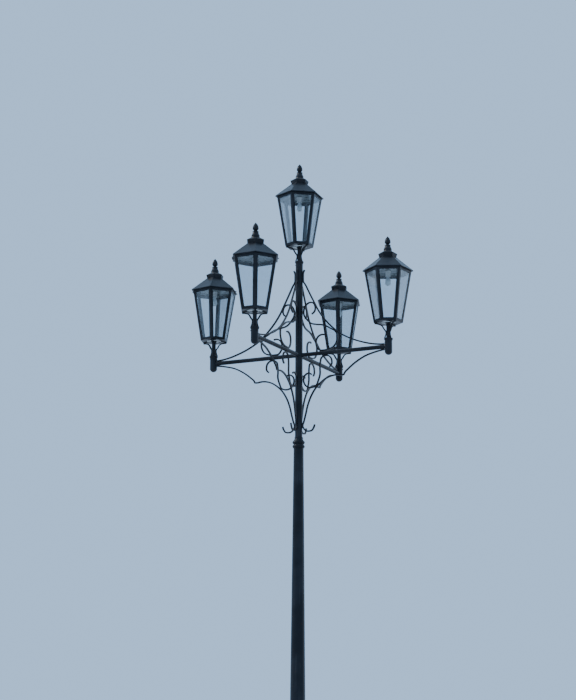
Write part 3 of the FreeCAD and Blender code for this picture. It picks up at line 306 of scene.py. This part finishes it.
HEXAGON = 6
ANCHOR_OUT = 140 * MM
PLATE_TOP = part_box("base_flange")[1].z
WASHER = in_metres([(21, 0), (22, 1), (22, 3), (21, 4)])
NUT = in_metres([(19, 4), (20.4, 5.2), (20.4, 22), (18.6, 23.5)])
THREAD_FOOT, THREAD_PITCH, THREAD_TURNS = 23.5, 3, 7
thread = [(11, 23)]
for turn in range(THREAD_TURNS):
    foot = THREAD_FOOT + turn * THREAD_PITCH
    thread += [(10.8, foot), (12, foot + THREAD_PITCH / 2)]
STUD = in_metres([*thread, (10.8, 44.5), (9, 46)])
anchors = Form()
for across in (-ANCHOR_OUT, ANCHOR_OUT):
    for along in (-ANCHOR_OUT, ANCHOR_OUT):
        tightened = Matrix.Rotation(across * 31 + along * 17, 4, "Z")
        at = Matrix.Translation((across, along, PLATE_TOP)) @ tightened
        anchors.turn(WASHER, at, 40)
        anchors.turn(NUT, at, HEXAGON)
        anchors.turn(STUD, at, 24)
anchors.piece("anchor_bolts", zinc, "post", sharp=25)

GUSSET_THICKNESS = 8 * MM
GUSSET_FOOT = 62 * MM
GUSSET_RISE = 90 * MM
PLATE_WELD = 4.5 * MM
GUSSET_WELD = 3 * MM
WELD_STEPS = 40
BASE_RADIUS = (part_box("base_tube")[1].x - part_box("base_tube")[0].x) / 2
foot_welds = Form()
foot_welds.ring((BASE_RADIUS, PLATE_TOP + 0.5 * MM), PLATE_WELD, sides=240, rough=0.16, seed=1)
for quarter in range(4):
    at = Matrix.Rotation(quarter * math.pi / 2, 4, "Z")
    for side in (-1, 1):
        edge = side * GUSSET_THICKNESS / 2
        along, upward = [], []
        for step in range(WELD_STEPS + 1):
            outward = BASE_RADIUS + 5 * MM + (GUSSET_FOOT - 7 * MM) * step / WELD_STEPS
            height = PLATE_TOP + 6 * MM + (GUSSET_RISE - 10 * MM) * step / WELD_STEPS
            along.append((outward, edge, PLATE_TOP))
            upward.append((BASE_RADIUS, edge, height))
        foot_welds.loop(along, GUSSET_WELD, at, 0.18, quarter * 2 + side, closed=False)
        foot_welds.loop(upward, GUSSET_WELD, at, 0.18, quarter * 3 + side, closed=False)
foot_welds.piece("foot_welds", STEEL, "post", "steel_paint")


# --- The base tube with its service door -------------------------------------------------------
# A straight steel tube with a door in its south side for the cables. The curved door plate hangs
# on two welded hinges, closes on a rubber strip and locks with a three-sided key.

coat(STEEL, "base_tube", "service_door", "door_hinges")

steel_key = Finish("stainless_lock_steel", Metallic=1.0)
brushed = steel_key.noise(30.0, 3.0, stretch=(1, 1, 60))
handled = steel_key.rise(steel_key.noise(55.0, 4.0), 0.45, 0.75)
steel_key.colour(steel_key.blend(handled, (0.50, 0.50, 0.49), (0.26, 0.25, 0.235)))
steel_key.roughness(0.22 + brushed * 0.2 + handled * 0.22)
steel_key.relief(brushed, 0.04 * MM)
coat(steel_key, "door_lock")

moulded = Finish("moulded_grey_plastic", IOR=1.46)
grain = moulded.noise(1100.0, 2.0)
sooty = moulded.rise(moulded.noise(16.0, 5.0), 0.46, 0.78)
moulded.colour(moulded.blend(sooty * 0.6, (0.33, 0.34, 0.35), (0.16, 0.155, 0.145)))
moulded.roughness(0.42 + grain * 0.14 + sooty * 0.2)
moulded.relief(grain, 0.06 * MM)
coat(moulded, "fuse_box")

rubber = Finish("black_rubber", IOR=1.45)
bloom = rubber.rise(rubber.noise(45.0, 4.0), 0.45, 0.75)
rubber.colour(rubber.blend(bloom * 0.5, (0.012, 0.012, 0.013), (0.055, 0.054, 0.052)))
rubber.roughness(0.55 + bloom * 0.25)
rubber.relief(rubber.noise(700.0, 2.0), 0.05 * MM)

OPENING_HALF = 50 * MM
OPENING_CORNER = 15 * MM
OPENING_LOW, OPENING_HIGH = 480 * MM, 880 * MM
SEAL_RADIUS = 3 * MM
SEAL_STEP = 8 * MM
CORNER_STEPS = 6
seal_turns = []
for middle_x, middle_z, start in (
    (OPENING_HALF - OPENING_CORNER, OPENING_HIGH - OPENING_CORNER, 0),
    (OPENING_CORNER - OPENING_HALF, OPENING_HIGH - OPENING_CORNER, 90),
    (OPENING_CORNER - OPENING_HALF, OPENING_LOW + OPENING_CORNER, 180),
    (OPENING_HALF - OPENING_CORNER, OPENING_LOW + OPENING_CORNER, 270),
):
    for step in range(CORNER_STEPS + 1):
        angle = math.radians(start + 90 / CORNER_STEPS * step)
        x = middle_x + OPENING_CORNER * math.cos(angle)
        seal_turns.append((x, middle_z + OPENING_CORNER * math.sin(angle)))
seal_path = []
for (x0, z0), (x1, z1) in zip(seal_turns, seal_turns[1:] + seal_turns[:1]):
    spans = max(1, round(math.hypot(x1 - x0, z1 - z0) / SEAL_STEP))
    for step in range(spans):
        x = x0 + (x1 - x0) * step / spans
        z = z0 + (z1 - z0) * step / spans
        seal_path.append((x, -math.sqrt((BASE_RADIUS - 2.5 * MM) ** 2 - x * x), z))
door_seal = Form()
door_seal.loop(seal_path, SEAL_RADIUS)
door_seal.piece("door_seal", rubber, "post")

GLAND_LENGTH = 16 * MM
LID_SCREW_IN = 12 * MM
LID_SCREW = in_metres([(4, -1), (4, 1), (3.2, 1.9), (1, 2.2)])
EARTH_STUD = in_metres([(4, -8), (4, 22), (3.2, 23)])
EARTH_WASHER = in_metres([(9, 8), (9, 9.6)])
EARTH_NUT = in_metres([(6.8, 9.6), (7.4, 10.2), (7.4, 15), (6.6, 16)])
EARTH_PLACE = (-30 * MM, 83 * MM, 455 * MM)
box_low, box_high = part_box("fuse_box")
towards_door = Matrix.Rotation(math.pi / 2, 4, "X")
fittings = Form()
for x in (box_low.x + LID_SCREW_IN, box_high.x - LID_SCREW_IN):
    for z in (box_low.z + GLAND_LENGTH + LID_SCREW_IN, box_high.z - LID_SCREW_IN):
        fittings.turn(LID_SCREW, Matrix.Translation((x, box_low.y, z)) @ towards_door, 20)
earth_at = Matrix.Translation(EARTH_PLACE) @ towards_door
fittings.turn(EARTH_STUD, earth_at, 20)
fittings.turn(EARTH_WASHER, earth_at, 28)
fittings.turn(EARTH_NUT, earth_at, HEXAGON)
fittings.piece("fuse_box_screws_and_earth_bolt", zinc, "post", sharp=25)


# --- The ring, the tapered shaft and its collar -------------------------------------------------
# A cast ring closes the base tube and carries the tapered shaft. A cast collar with two beads
# ends the shaft and holds the upper tube. Castings show the grain of the sand under the paint.

CASTING = black_paint("cast_iron_paint", 190, 0.75 * MM, 0.32, 0.45, 0.915)
coat(STEEL, "tapered_shaft", "upper_post")
coat(CASTING, "base_ring", "shaft_collar", "top_socket")

POST_RADIUS = (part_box("upper_post")[1].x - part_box("upper_post")[0].x) / 2
SHAFT_FOOT_RADIUS = 79.5 * MM
SHAFT_HEAD_RADIUS = 50.8 * MM
SPIGOT_DEPTH = 45 * MM
COLLAR_NECK_RADIUS = 41.5 * MM
shaft_low, shaft_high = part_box("tapered_shaft")
base_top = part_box("base_ring")[0].z + SPIGOT_DEPTH
collar_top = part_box("shaft_collar")[1].z
seams = Form()
seams.ring((SHAFT_FOOT_RADIUS + 1 * MM, shaft_low.z), 2.6 * MM, sides=200, rough=0.12, seed=3)
seams.ring(
    (SHAFT_HEAD_RADIUS + 0.2 * MM, shaft_high.z - 0.5 * MM), 1.6 * MM, sides=160, rough=0.10, seed=4
)
seams.ring((POST_RADIUS + 1.6 * MM, collar_top - 0.4 * MM), 2.2 * MM, sides=140, rough=0.10, seed=5)
seams.ring((BASE_RADIUS - 1 * MM, base_top), 2.0 * MM, sides=220, rough=0.12, seed=6)
seams.piece("shaft_seams", STEEL, "post", "steel_paint")


def socket_screw(form, centre, height, radius, angle, head=5.5 * MM):
    """A hexagon screw with its washer, standing out of a round wall at this angle."""
    way = Matrix.Rotation(angle, 4, "Z") @ Matrix.Rotation(math.pi / 2, 4, "Y")
    at = Matrix.Translation((centre[0], centre[1], height)) @ way
    washer_top = radius + 0.8 * MM
    form.turn([(head * 1.25, radius - 2 * MM), (head * 1.25, washer_top)], at, 24)
    bolt_head = [
        (head * 1.0, washer_top),
        (head * 1.1, radius + 1.2 * MM),
        (head * 1.1, radius + 4.6 * MM),
        (head * 0.9, radius + 5.4 * MM),
    ]
    form.turn(bolt_head, at, HEXAGON)


collar_screws = Form()
for third in range(3):
    turn = math.radians(35 + 120 * third)
    socket_screw(collar_screws, (0, 0), collar_top - 9 * MM, COLLAR_NECK_RADIUS, turn, head=5 * MM)
collar_screws.piece("collar_screws", CASTING, "post", "cast_paint", sharp=25)


# --- The four arms ------------------------------------------------------------------------------
# Each arm is a steel tube fitted to the post's round and welded to it, with a turned socket at
# its end. Three hexagon screws in each socket hold the stem of a lantern.

ARM_RADIUS = 21.2 * MM
SOCKET_RADIUS = 38.05 * MM
SOCKET_RIM_RADIUS = 45.5 * MM
SOCKET_RISE = 80 * MM
SCREW_DROP = 34 * MM
POST_SIDE_WELD, SOCKET_SIDE_WELD = 3.4 * MM, 3.2 * MM
SADDLE_STEPS = 72
ARM_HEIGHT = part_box("arm_east")[1].z - SOCKET_RISE
ARMS = {"east": 0, "north": 90, "west": 180, "south": 270}
coat(STEEL, *(f"arm_{side}" for side in ARMS))


def saddle(round_radius, centre_out, sign):
    """The line where an arm's tube meets a round wall whose axis stands at centre_out."""
    points = []
    for step in range(SADDLE_STEPS):
        angle = 2 * math.pi * step / SADDLE_STEPS
        y = ARM_RADIUS * math.cos(angle)
        z = ARM_RADIUS * math.sin(angle)
        points.append((centre_out + sign * math.sqrt(round_radius**2 - y * y), y, z))
    return points


for side, degrees in ARMS.items():
    at = Matrix.Translation((0, 0, ARM_HEIGHT)) @ Matrix.Rotation(math.radians(degrees), 4, "Z")
    arm_low, arm_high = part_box(f"arm_{side}")
    farthest = max(abs(value) for value in (arm_low.x, arm_high.x, arm_low.y, arm_high.y))
    reach = farthest - SOCKET_RIM_RADIUS
    welds = Form()
    welds.loop(saddle(POST_RADIUS, 0, 1), POST_SIDE_WELD, at, 0.16, degrees + 7)
    welds.loop(saddle(SOCKET_RADIUS, reach, -1), SOCKET_SIDE_WELD, at, 0.16, degrees + 8)
    welds.piece(f"arm_welds_{side}", STEEL, "post", "steel_paint")
    screws = Form()
    centre = at @ Vector((reach, 0, 0))
    screw_height = ARM_HEIGHT + SOCKET_RISE - SCREW_DROP
    for third in range(3):
        turn = math.radians(degrees + 60 + 120 * third)
        socket_screw(screws, centre, screw_height, SOCKET_RADIUS, turn)
    screws.piece(f"socket_screws_{side}", CASTING, "post", "cast_paint", sharp=25)

top_screws = Form()
screw_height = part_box("top_socket")[1].z - SCREW_DROP
for third in range(3):
    socket_screw(top_screws, (0, 0), screw_height, POST_RADIUS, math.radians(75 + 120 * third))
top_screws.piece("socket_screws_top", CASTING, "post", "cast_paint", sharp=25)


# --- The scrollwork -----------------------------------------------------------------------------
# Square wrought bars bent into scrolls, hammered at the forge, welded to one another and to the
# post and the arms. The hammer leaves shallow facets that catch the light along each bar.

WROUGHT = black_paint("wrought_bar_paint", 85, 1.1 * MM, 0.27, 0.45, 0.895)
coat(WROUGHT, *(f"scrollwork_{side}" for side in ARMS))


# --- The lanterns' cradles ----------------------------------------------------------------------
# A cast stem stands in each socket, with a foot disc below and three curved legs that carry the
# lantern's lower rim. A dome-headed rivet holds the rim on each leg.

LANTERNS = (*ARMS, "top")
coat(CASTING, *(f"cradle_{side}" for side in LANTERNS))
STEM_BELOW_SEAT = 44.7 * MM
RIM_UNDERSIDE = 162 * MM
RIM_THICKNESS = 2.5 * MM
hinge_axes = {joint["name"]: joint["axis"] for joint in frame["joints"]}


def lantern_at(side):
    """The lantern's own frame: its axis up through the origin, its seat at zero, hinge on +Y."""
    low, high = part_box(f"bulb_{side}")
    axis = hinge_axes[f"roof_hinge_{side}"]
    facing = math.atan2(-axis[0], axis[1])
    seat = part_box(f"cradle_{side}")[0].z + STEM_BELOW_SEAT
    middle = (low + high) / 2
    turned = Matrix.Rotation(facing - math.pi / 2, 4, "Z")
    return Matrix.Translation((middle.x, middle.y, seat)) @ turned


PLACES = {side: lantern_at(side) for side in LANTERNS}
LEG_RIVET_OUT = 128 * MM
RIVET = in_metres([(4.6, -1.5), (4.6, 0), (4.5, 1.0), (3.9, 2.2), (2.6, 3.1), (1.0, 3.5)])


def rivet(form, at, scale):
    """A dome-headed rivet, its head on the sheet at this place."""
    form.turn([(radius * scale, height * scale) for radius, height in RIVET], at, 18)


for side, at in PLACES.items():
    rivets = Form()
    for degrees in (60, 180, 300):
        spot = Matrix.Rotation(math.radians(degrees), 4, "Z") @ Vector((LEG_RIVET_OUT, 0, 0))
        up = at @ Matrix.Translation((spot.x, spot.y, RIM_UNDERSIDE + RIM_THICKNESS))
        rivet(rivets, up, 0.9)
    rivets.piece(f"leg_rivets_{side}", CASTING, "post", "cast_paint")


# --- The lanterns' frames -----------------------------------------------------------------------
# Six folded corner bars between a lower and an upper rim, soldered up from sheet. A half-round
# bead runs down each corner and round both rims, and black putty seals each pane from inside.

SHEET = black_paint("lantern_sheet_paint", 46, 0.35 * MM, 0.22, 0.22, 0.925)
coat(SHEET, *(f"frame_{side}" for side in LANTERNS))
RIM_RADIUS = 146 * MM
FRAME_TOP_RADIUS = 238 * MM
FRAME_TOP = 699.6 * MM
WALL = 2.5 * MM
PUTTY_LOW, PUTTY_HIGH = 26 * MM, 23 * MM
PUTTY_RADIUS = 2.4 * MM
CORNER_FLANGE = 26 * MM
CORNER_BEAD, RIM_BEAD = 2.6 * MM, 2.2 * MM
TOP_BEAD_HEIGHT = FRAME_TOP - 3 * MM


def hexagon_point(radius, number, height):
    """A numbered corner of a hexagon of this corner radius."""
    angle = math.radians(60 * number)
    return Vector((radius * math.cos(angle), radius * math.sin(angle), height))


def along_frame(height):
    """The corner radius of the frame's outside at a height above the seat."""
    share = (height - RIM_UNDERSIDE) / (FRAME_TOP - RIM_UNDERSIDE)
    return RIM_RADIUS + (FRAME_TOP_RADIUS - RIM_RADIUS) * share


def flat_loop(corners, per_side):
    """Points along the straight sides between corners, closed."""
    return [
        first.lerp(second, step / per_side)
        for first, second in zip(corners, corners[1:] + corners[:1])
        for step in range(per_side)
    ]


beads = Form()
for number in range(6):
    low = hexagon_point(RIM_RADIUS - 1.0 * MM, number, RIM_UNDERSIDE + 1 * MM)
    high = hexagon_point(FRAME_TOP_RADIUS - 1.0 * MM, number, FRAME_TOP - 1 * MM)
    beads.loop([low.lerp(high, step / 12) for step in range(13)], CORNER_BEAD, closed=False)
for radius, height in (
    (RIM_RADIUS, RIM_UNDERSIDE + 2.4 * MM),
    (along_frame(TOP_BEAD_HEIGHT), TOP_BEAD_HEIGHT),
):
    corners = [hexagon_point(radius, number, height) for number in range(6)]
    beads.loop(flat_loop(corners, 8), RIM_BEAD)

putty = Form()
low_height, high_height = RIM_UNDERSIDE + PUTTY_LOW, FRAME_TOP - PUTTY_HIGH
flat_spread = (FRAME_TOP_RADIUS - RIM_RADIUS) * math.cos(math.pi / 6)
lean = math.atan(flat_spread / (FRAME_TOP - RIM_UNDERSIDE))
for number in range(6):
    turn = Matrix.Rotation(math.radians(60 * number + 30), 4, "Z")
    corners = []
    for height, flip in ((low_height, 1), (high_height, -1)):
        flat = along_frame(height) * math.cos(math.pi / 6) - (WALL + 3.4 * MM) / math.cos(lean)
        half = along_frame(height) / 2 - CORNER_FLANGE + 1.5 * MM
        corners += [Vector((flat, -half * flip, height)), Vector((flat, half * flip, height))]
    path = flat_loop([turn @ corner for corner in corners], 6)
    putty.loop(path, PUTTY_RADIUS, rough=0.15, seed=number)

for side, at in PLACES.items():
    beads.placed(at).piece(f"frame_beads_{side}", SHEET, "post", "lantern_paint")
    putty.placed(at).piece(f"pane_putty_{side}", rubber, "post")


# --- The panes ----------------------------------------------------------------------------------
# Six side panes of clear window glass, a little wavy, with grime along their edges, and three
# floor panes of acid-frosted glass that pass a soft light downward.

glazing = Finish("clear_window_glass", Base_Color=(0.68, 0.73, 0.77, 1), IOR=1.5)
wave = glazing.noise(5.5, 2.0)
smear = glazing.rise(glazing.noise(9.0, 5.0, stretch=(1, 1, 0.35)), 0.44, 0.80)
glazing.roughness(0.03 + smear * 0.16)
glazing.relief(wave, 0.9 * MM)
mirror = glazing.add("ShaderNodeFresnel", None, {"IOR": 1.5})
glazing.join(glazing.surface.inputs["Metallic"], 0.35 - smear * 0.2)
seen = glazing.maths("MINIMUM", mirror * 0.5 + 0.02 + smear * 0.05, 1.0)
through = glazing.add("ShaderNodeBsdfTransparent", None, {"Color": (0.92, 0.945, 0.96)})
shine = Link(glazing, glazing.surface.outputs[0])
pane = glazing.add("ShaderNodeMixShader", None, {0: seen, 1: through, 2: shine})
glazing.join(glazing.tree.nodes["Material Output"].inputs["Surface"], pane)
coat(glazing, *(f"side_glass_{side}" for side in LANTERNS))

frosted = Finish("frosted_floor_glass", IOR=1.5)
etched = frosted.noise(900.0, 2.0)
settled = frosted.rise(frosted.noise(26.0, 5.0), 0.40, 0.78)
frosted.colour(frosted.blend(settled * 0.6, (0.80, 0.83, 0.82), (0.46, 0.44, 0.38)))
frosted.roughness(0.45 + etched * 0.2)
frosted.relief(etched, 0.05 * MM)
through = frosted.add("ShaderNodeBsdfTransparent", None, {"Color": (0.92, 0.95, 0.94)})
shine = Link(frosted, frosted.surface.outputs[0])
cover = 0.62 + settled * 0.2
milky = frosted.add("ShaderNodeMixShader", None, {0: cover, 1: through, 2: shine})
frosted.join(frosted.tree.nodes["Material Output"].inputs["Surface"], milky)
coat(frosted, *(f"floor_glass_{side}" for side in LANTERNS))


# --- The roofs ----------------------------------------------------------------------------------
# A six-sided sheet roof over an eave band, hinged on one side and held by a thumb screw on the
# other. The six hips are dressed with a half-round seam, and rivets hold the cap.

coat(SHEET, *(f"roof_{side}" for side in LANTERNS))
EAVE = 700 * MM
EAVE_BAND = 8 * MM
EAVE_RADIUS = 258 * MM
ROOF_TOP = 845 * MM
ROOF_TOP_RADIUS = 86 * MM
HIP_SEAM, EAVE_SEAM = 2.7 * MM, 2.0 * MM
CAP_FLAT = 76.2 * MM
CAP_RIVET_ASIDE, CAP_RIVET_RISE = 26 * MM, 12 * MM
roof_seams = Form()
for number in range(6):
    foot = hexagon_point(EAVE_RADIUS - 2.8 * MM, number, EAVE + EAVE_BAND)
    head = hexagon_point(ROOF_TOP_RADIUS - 0.5 * MM, number, ROOF_TOP)
    roof_seams.loop([foot.lerp(head, step / 10) for step in range(11)], HIP_SEAM, closed=False)
corners = [hexagon_point(EAVE_RADIUS - 2.4 * MM, number, EAVE + 1.8 * MM) for number in range(6)]
roof_seams.loop(flat_loop(corners, 8), EAVE_SEAM)
for number in range(6):
    turn = Matrix.Rotation(math.radians(60 * number + 30), 4, "Z")
    for across in (-CAP_RIVET_ASIDE, CAP_RIVET_ASIDE):
        spot = (CAP_FLAT + 1.6 * MM, across, ROOF_TOP + CAP_RIVET_RISE)
        outward = Matrix.Translation(spot) @ Matrix.Rotation(math.pi / 2, 4, "Y")
        rivet(roof_seams, turn @ outward, 0.8)

THUMB_STEM = in_metres([(2.5, 0), (2.5, 5), (6.5, 5.5)])
THUMB_KNOB = in_metres([(6.3, 5.5), (7, 6.2), (7, 11.5), (6.2, 12.3), (3, 12.6)])
band_flat = EAVE_RADIUS * math.cos(math.pi / 6)
knob_at = Matrix.Translation((0, 1 * MM - band_flat, EAVE + EAVE_BAND / 2))
knob_at = knob_at @ Matrix.Rotation(math.pi / 2, 4, "X")
thumb = Form()
thumb.turn(THUMB_STEM, knob_at, 20)
thumb.turn(THUMB_KNOB, knob_at, 14)

for side, at in PLACES.items():
    roof_seams.placed(at).piece(f"roof_seams_{side}", SHEET, f"roof_{side}", "lantern_paint")
    thumb.placed(at).piece(f"roof_thumb_screw_{side}", SHEET, f"roof_{side}", "lantern_paint")


# --- The caps and finials -----------------------------------------------------------------------
# A cast vent cap with a hollowed slope, a cone, a disc and an acorn, all in one casting. Its foot
# stands on the roof's top, and two rivets in each of its six sides hold it there.

coat(CASTING, *(f"finial_{side}" for side in LANTERNS))


# --- The reflectors and lampholders -------------------------------------------------------------
# A pale grey-green enamelled plate closes the roof from below and throws the light down. Its colour
# is set dark, as painted shade under the roof. Heat has browned it round the porcelain lampholder,
# which is screwed to its middle.

enamel = Finish("pale_enamel_in_painted_shade", IOR=1.52)
own = enamel.add("ShaderNodeTexCoord", output="Generated")
centred = enamel.add(
    "ShaderNodeMapping",
    None,
    {"Vector": own, "Location": (-0.5, -0.5, 0), "Scale": (1, 1, 0)},
)
outward = enamel.add("ShaderNodeVectorMath", {"operation": "LENGTH"}, {0: centred}, output="Value")
browned = (1 - enamel.rise(outward, 0.06, 0.24)) * enamel.rise(enamel.noise(17.0, 4.0), 0.30, 0.62)
flecked = enamel.rise(enamel.noise(120.0, 2.0), 0.70, 0.74)
# Painted shade: the pale enamel's base colour is set to a dark grey-green, as the plate looks in
# the shade under the roof.
enamel_shade_and_browning = enamel.blend(enamel.noise(7.0, 3.0), (0.085, 0.097, 0.087), (0.122, 0.137, 0.122))
enamel_shade_and_browning = enamel.blend(browned * 0.55, enamel_shade_and_browning, (0.085, 0.066, 0.045))
enamel.colour(enamel.blend(flecked * 0.8, enamel_shade_and_browning, (0.12, 0.075, 0.045)))
enamel.roughness(0.20 + enamel.noise(24.0, 3.0) * 0.15 + browned * 0.2)
enamel.relief(enamel.noise(30.0, 2.0), 0.5 * MM)
coat(enamel, *(f"reflector_{side}" for side in LANTERNS))

porcelain = Finish("glazed_porcelain", Coat_Weight=0.6, Coat_Roughness=0.05, IOR=1.5)
sooted = porcelain.rise(porcelain.noise(60.0, 4.0), 0.50, 0.78)
porcelain.colour(porcelain.blend(sooted * 0.45, (0.74, 0.73, 0.69), (0.38, 0.34, 0.28)))
porcelain.roughness(0.14 + sooted * 0.25)
porcelain.relief(porcelain.noise(90.0, 2.0), 0.15 * MM)

PLATE_UNDERSIDE = 702.5 * MM
HOLDER_DROP = 55 * MM
HOLDER_GLAZE = 0.4 * MM
HOLDER_GROOVES = 3
holder_mouth = PLATE_UNDERSIDE - HOLDER_DROP
outline = [(15.5, 0.6), (24.2, 0.0), (26.2, 1.6), (26.6, 4)]
for groove in range(HOLDER_GROOVES):
    foot = 14 + groove * 6
    outline += [(26.6, foot), (25.6, foot + 1), (25.6, foot + 2), (26.6, foot + 3)]
outline += [(26.6, 38), (28.5, 42), (31, 46), (31.5, 53.5), (30, 54.6)]
hung = [
    (radius, holder_mouth + height - HOLDER_GLAZE) for radius, height in in_metres(outline)
]
holder = Form()
holder.turn(hung, sides=48, closed=False)

for side, at in PLACES.items():
    holder.placed(at).piece(f"lampholder_{side}", porcelain, f"roof_{side}", "reflector_enamel")


# --- The lamps ----------------------------------------------------------------------------------
# A long lamp of pearl glass hangs cap up in each holder: a rounded tip, straight sides, a narrow
# neck and a nickelled screw cap.

pearl = Finish("pearl_lamp_glass", Coat_Weight=0.8, Coat_Roughness=0.04, IOR=1.5)
coated = pearl.noise(40.0, 3.0)
pearl.colour(pearl.blend(coated, (0.60, 0.66, 0.67), (0.74, 0.78, 0.77)))
pearl.roughness(0.24 + coated * 0.12)
pearl.relief(coated, 0.1 * MM)
nickel = Finish("nickelled_cap", Metallic=1.0)
tarnish = nickel.rise(nickel.noise(150.0, 3.0), 0.4, 0.7)
nickel.colour(nickel.blend(tarnish, (0.62, 0.60, 0.56), (0.40, 0.36, 0.30)))
nickel.roughness(0.2 + tarnish * 0.25)

LAMP_RADIUS = 28 * MM
LAMP_NECK = 15 * MM
LAMP_LENGTH = 100 * MM
LAMP_STEPS = 12
NECK_START, NECK_SHARE = 0.52, 0.42
CAP_RADIUS = 13.4 * MM
CAP_THREAD_DEPTH, CAP_THREAD_PITCH, CAP_THREAD_TURNS = 1 * MM, 4 * MM, 5
tip = holder_mouth - LAMP_LENGTH
glass_outline = []
for step in range(LAMP_STEPS + 1):
    angle = math.pi / 2 * step / LAMP_STEPS
    radius = max(0.4 * MM, LAMP_RADIUS * math.sin(angle))
    glass_outline.append((radius, tip + LAMP_RADIUS * (1 - math.cos(angle))))
for step in range(1, LAMP_STEPS + 1):
    share = step / LAMP_STEPS
    ease = share * share * (3 - 2 * share)
    radius = LAMP_RADIUS + (LAMP_NECK - LAMP_RADIUS) * ease
    glass_outline.append((radius, tip + LAMP_LENGTH * (NECK_START + NECK_SHARE * share)))
glass_outline.append((CAP_RADIUS, holder_mouth - 0.5 * MM))
cap_outline = [(CAP_RADIUS, holder_mouth - 4 * MM)]
for turn in range(CAP_THREAD_TURNS):
    foot = holder_mouth + turn * CAP_THREAD_PITCH
    cap_outline.append((CAP_RADIUS - CAP_THREAD_DEPTH, foot))
    cap_outline.append((CAP_RADIUS, foot + CAP_THREAD_PITCH / 2))
cap_outline.append((CAP_RADIUS - 2 * MM, holder_mouth + 21 * MM))
cap_outline.append((6 * MM, holder_mouth + 23 * MM))
for side, at in PLACES.items():
    lamp = Form()
    lamp.turn(glass_outline, at, 40)
    glass = lamp.piece(f"lamp_glass_{side}", pearl, f"roof_{side}", "bulb_glass")
    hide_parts(f"bulb_{side}")
    cap = Form()
    cap.turn(cap_outline, at, 32)
    cap.piece(f"lamp_cap_{side}", nickel, f"roof_{side}", "bulb_glass", sharp=60)


# --- The studio ---------------------------------------------------------------------------------
# A pale floor, soft light from the left and above with a weaker one behind, and a camera that
# stands low in front of the post and looks up at the lanterns.

FLOOR_RADIUS = 700.0
FLOOR_SIDES = 96
floor_edge = [
    (FLOOR_RADIUS * math.cos(a), FLOOR_RADIUS * math.sin(a), 0)
    for a in (2 * math.pi * side / FLOOR_SIDES for side in range(FLOOR_SIDES))
]
pale = Finish("pale_floor", Roughness=0.85)
pale.colour(pale.blend(pale.noise(0.8, 4.0), (0.60, 0.61, 0.62), (0.64, 0.65, 0.66)))
floor_mesh = bpy.data.meshes.new("floor")
floor_mesh.from_pydata(floor_edge, [], [tuple(range(FLOOR_SIDES))])
floor_mesh.materials.append(pale.material)
floor = bpy.data.objects.new("floor", floor_mesh)
bpy.context.scene.collection.objects.link(floor)

world = bpy.data.worlds.new("studio")
bpy.context.scene.world = world
world.use_nodes = True
sky = world.node_tree.nodes["Background"]
sky.inputs["Color"].default_value = (0.44, 0.67, 1.0, 1)
sky.inputs["Strength"].default_value = 1.1


def looking(place, way):
    """Where a lamp or a camera stands, and which way it points."""
    return Matrix.Translation(place) @ way.to_track_quat("-Z", "Y").to_matrix().to_4x4()


def soft_light(name, place, target, strength, spread, colour):
    """Light as from a wide far panel: spread is how many degrees wide it looks."""
    lamp = bpy.data.lights.new(name, "SUN")
    lamp.angle, lamp.energy, lamp.color = math.radians(spread), strength, colour
    held = bpy.data.objects.new(name, lamp)
    bpy.context.scene.collection.objects.link(held)
    held.matrix_world = looking(place, Vector(target) - Vector(place))


hub = (0, 0, ARM_HEIGHT)
soft_light("key", (-10.0, -4.0, 14.0), hub, 1.7, 14, (1.0, 0.97, 0.93))
soft_light("rim", (8.0, 9.0, 9.0), hub, 0.3, 40, (0.92, 0.96, 1.0))

FILM_WIDTH = 36
LENS = 88.80171
SHIFT_ACROSS, SHIFT_UP = -0.0114286, -0.0107143
AZIMUTH = math.radians(25.79)
DISTANCE = 17.367
EYE_HEIGHT = ARM_HEIGHT - 3.8735
TILT_UP = math.radians(13.0)
TURN = math.radians(0.102)
ROLL = math.radians(0.234)
FARTHEST_SEEN = 300
camera = bpy.data.objects.new("camera", bpy.data.cameras.new("camera"))
bpy.context.scene.collection.objects.link(camera)
camera.data.sensor_width = FILM_WIDTH
camera.data.lens = LENS
camera.data.shift_x = SHIFT_ACROSS
camera.data.shift_y = SHIFT_UP
camera.data.clip_end = FARTHEST_SEEN
heading = AZIMUTH + TURN
level = math.cos(TILT_UP)
way = Vector((-math.sin(heading) * level, math.cos(heading) * level, math.sin(TILT_UP)))
stand = Vector((DISTANCE * math.sin(AZIMUTH), -DISTANCE * math.cos(AZIMUTH), EYE_HEIGHT))
camera.matrix_world = looking(stand, way) @ Matrix.Rotation(ROLL, 4, "Z")
bpy.context.scene.camera = camera
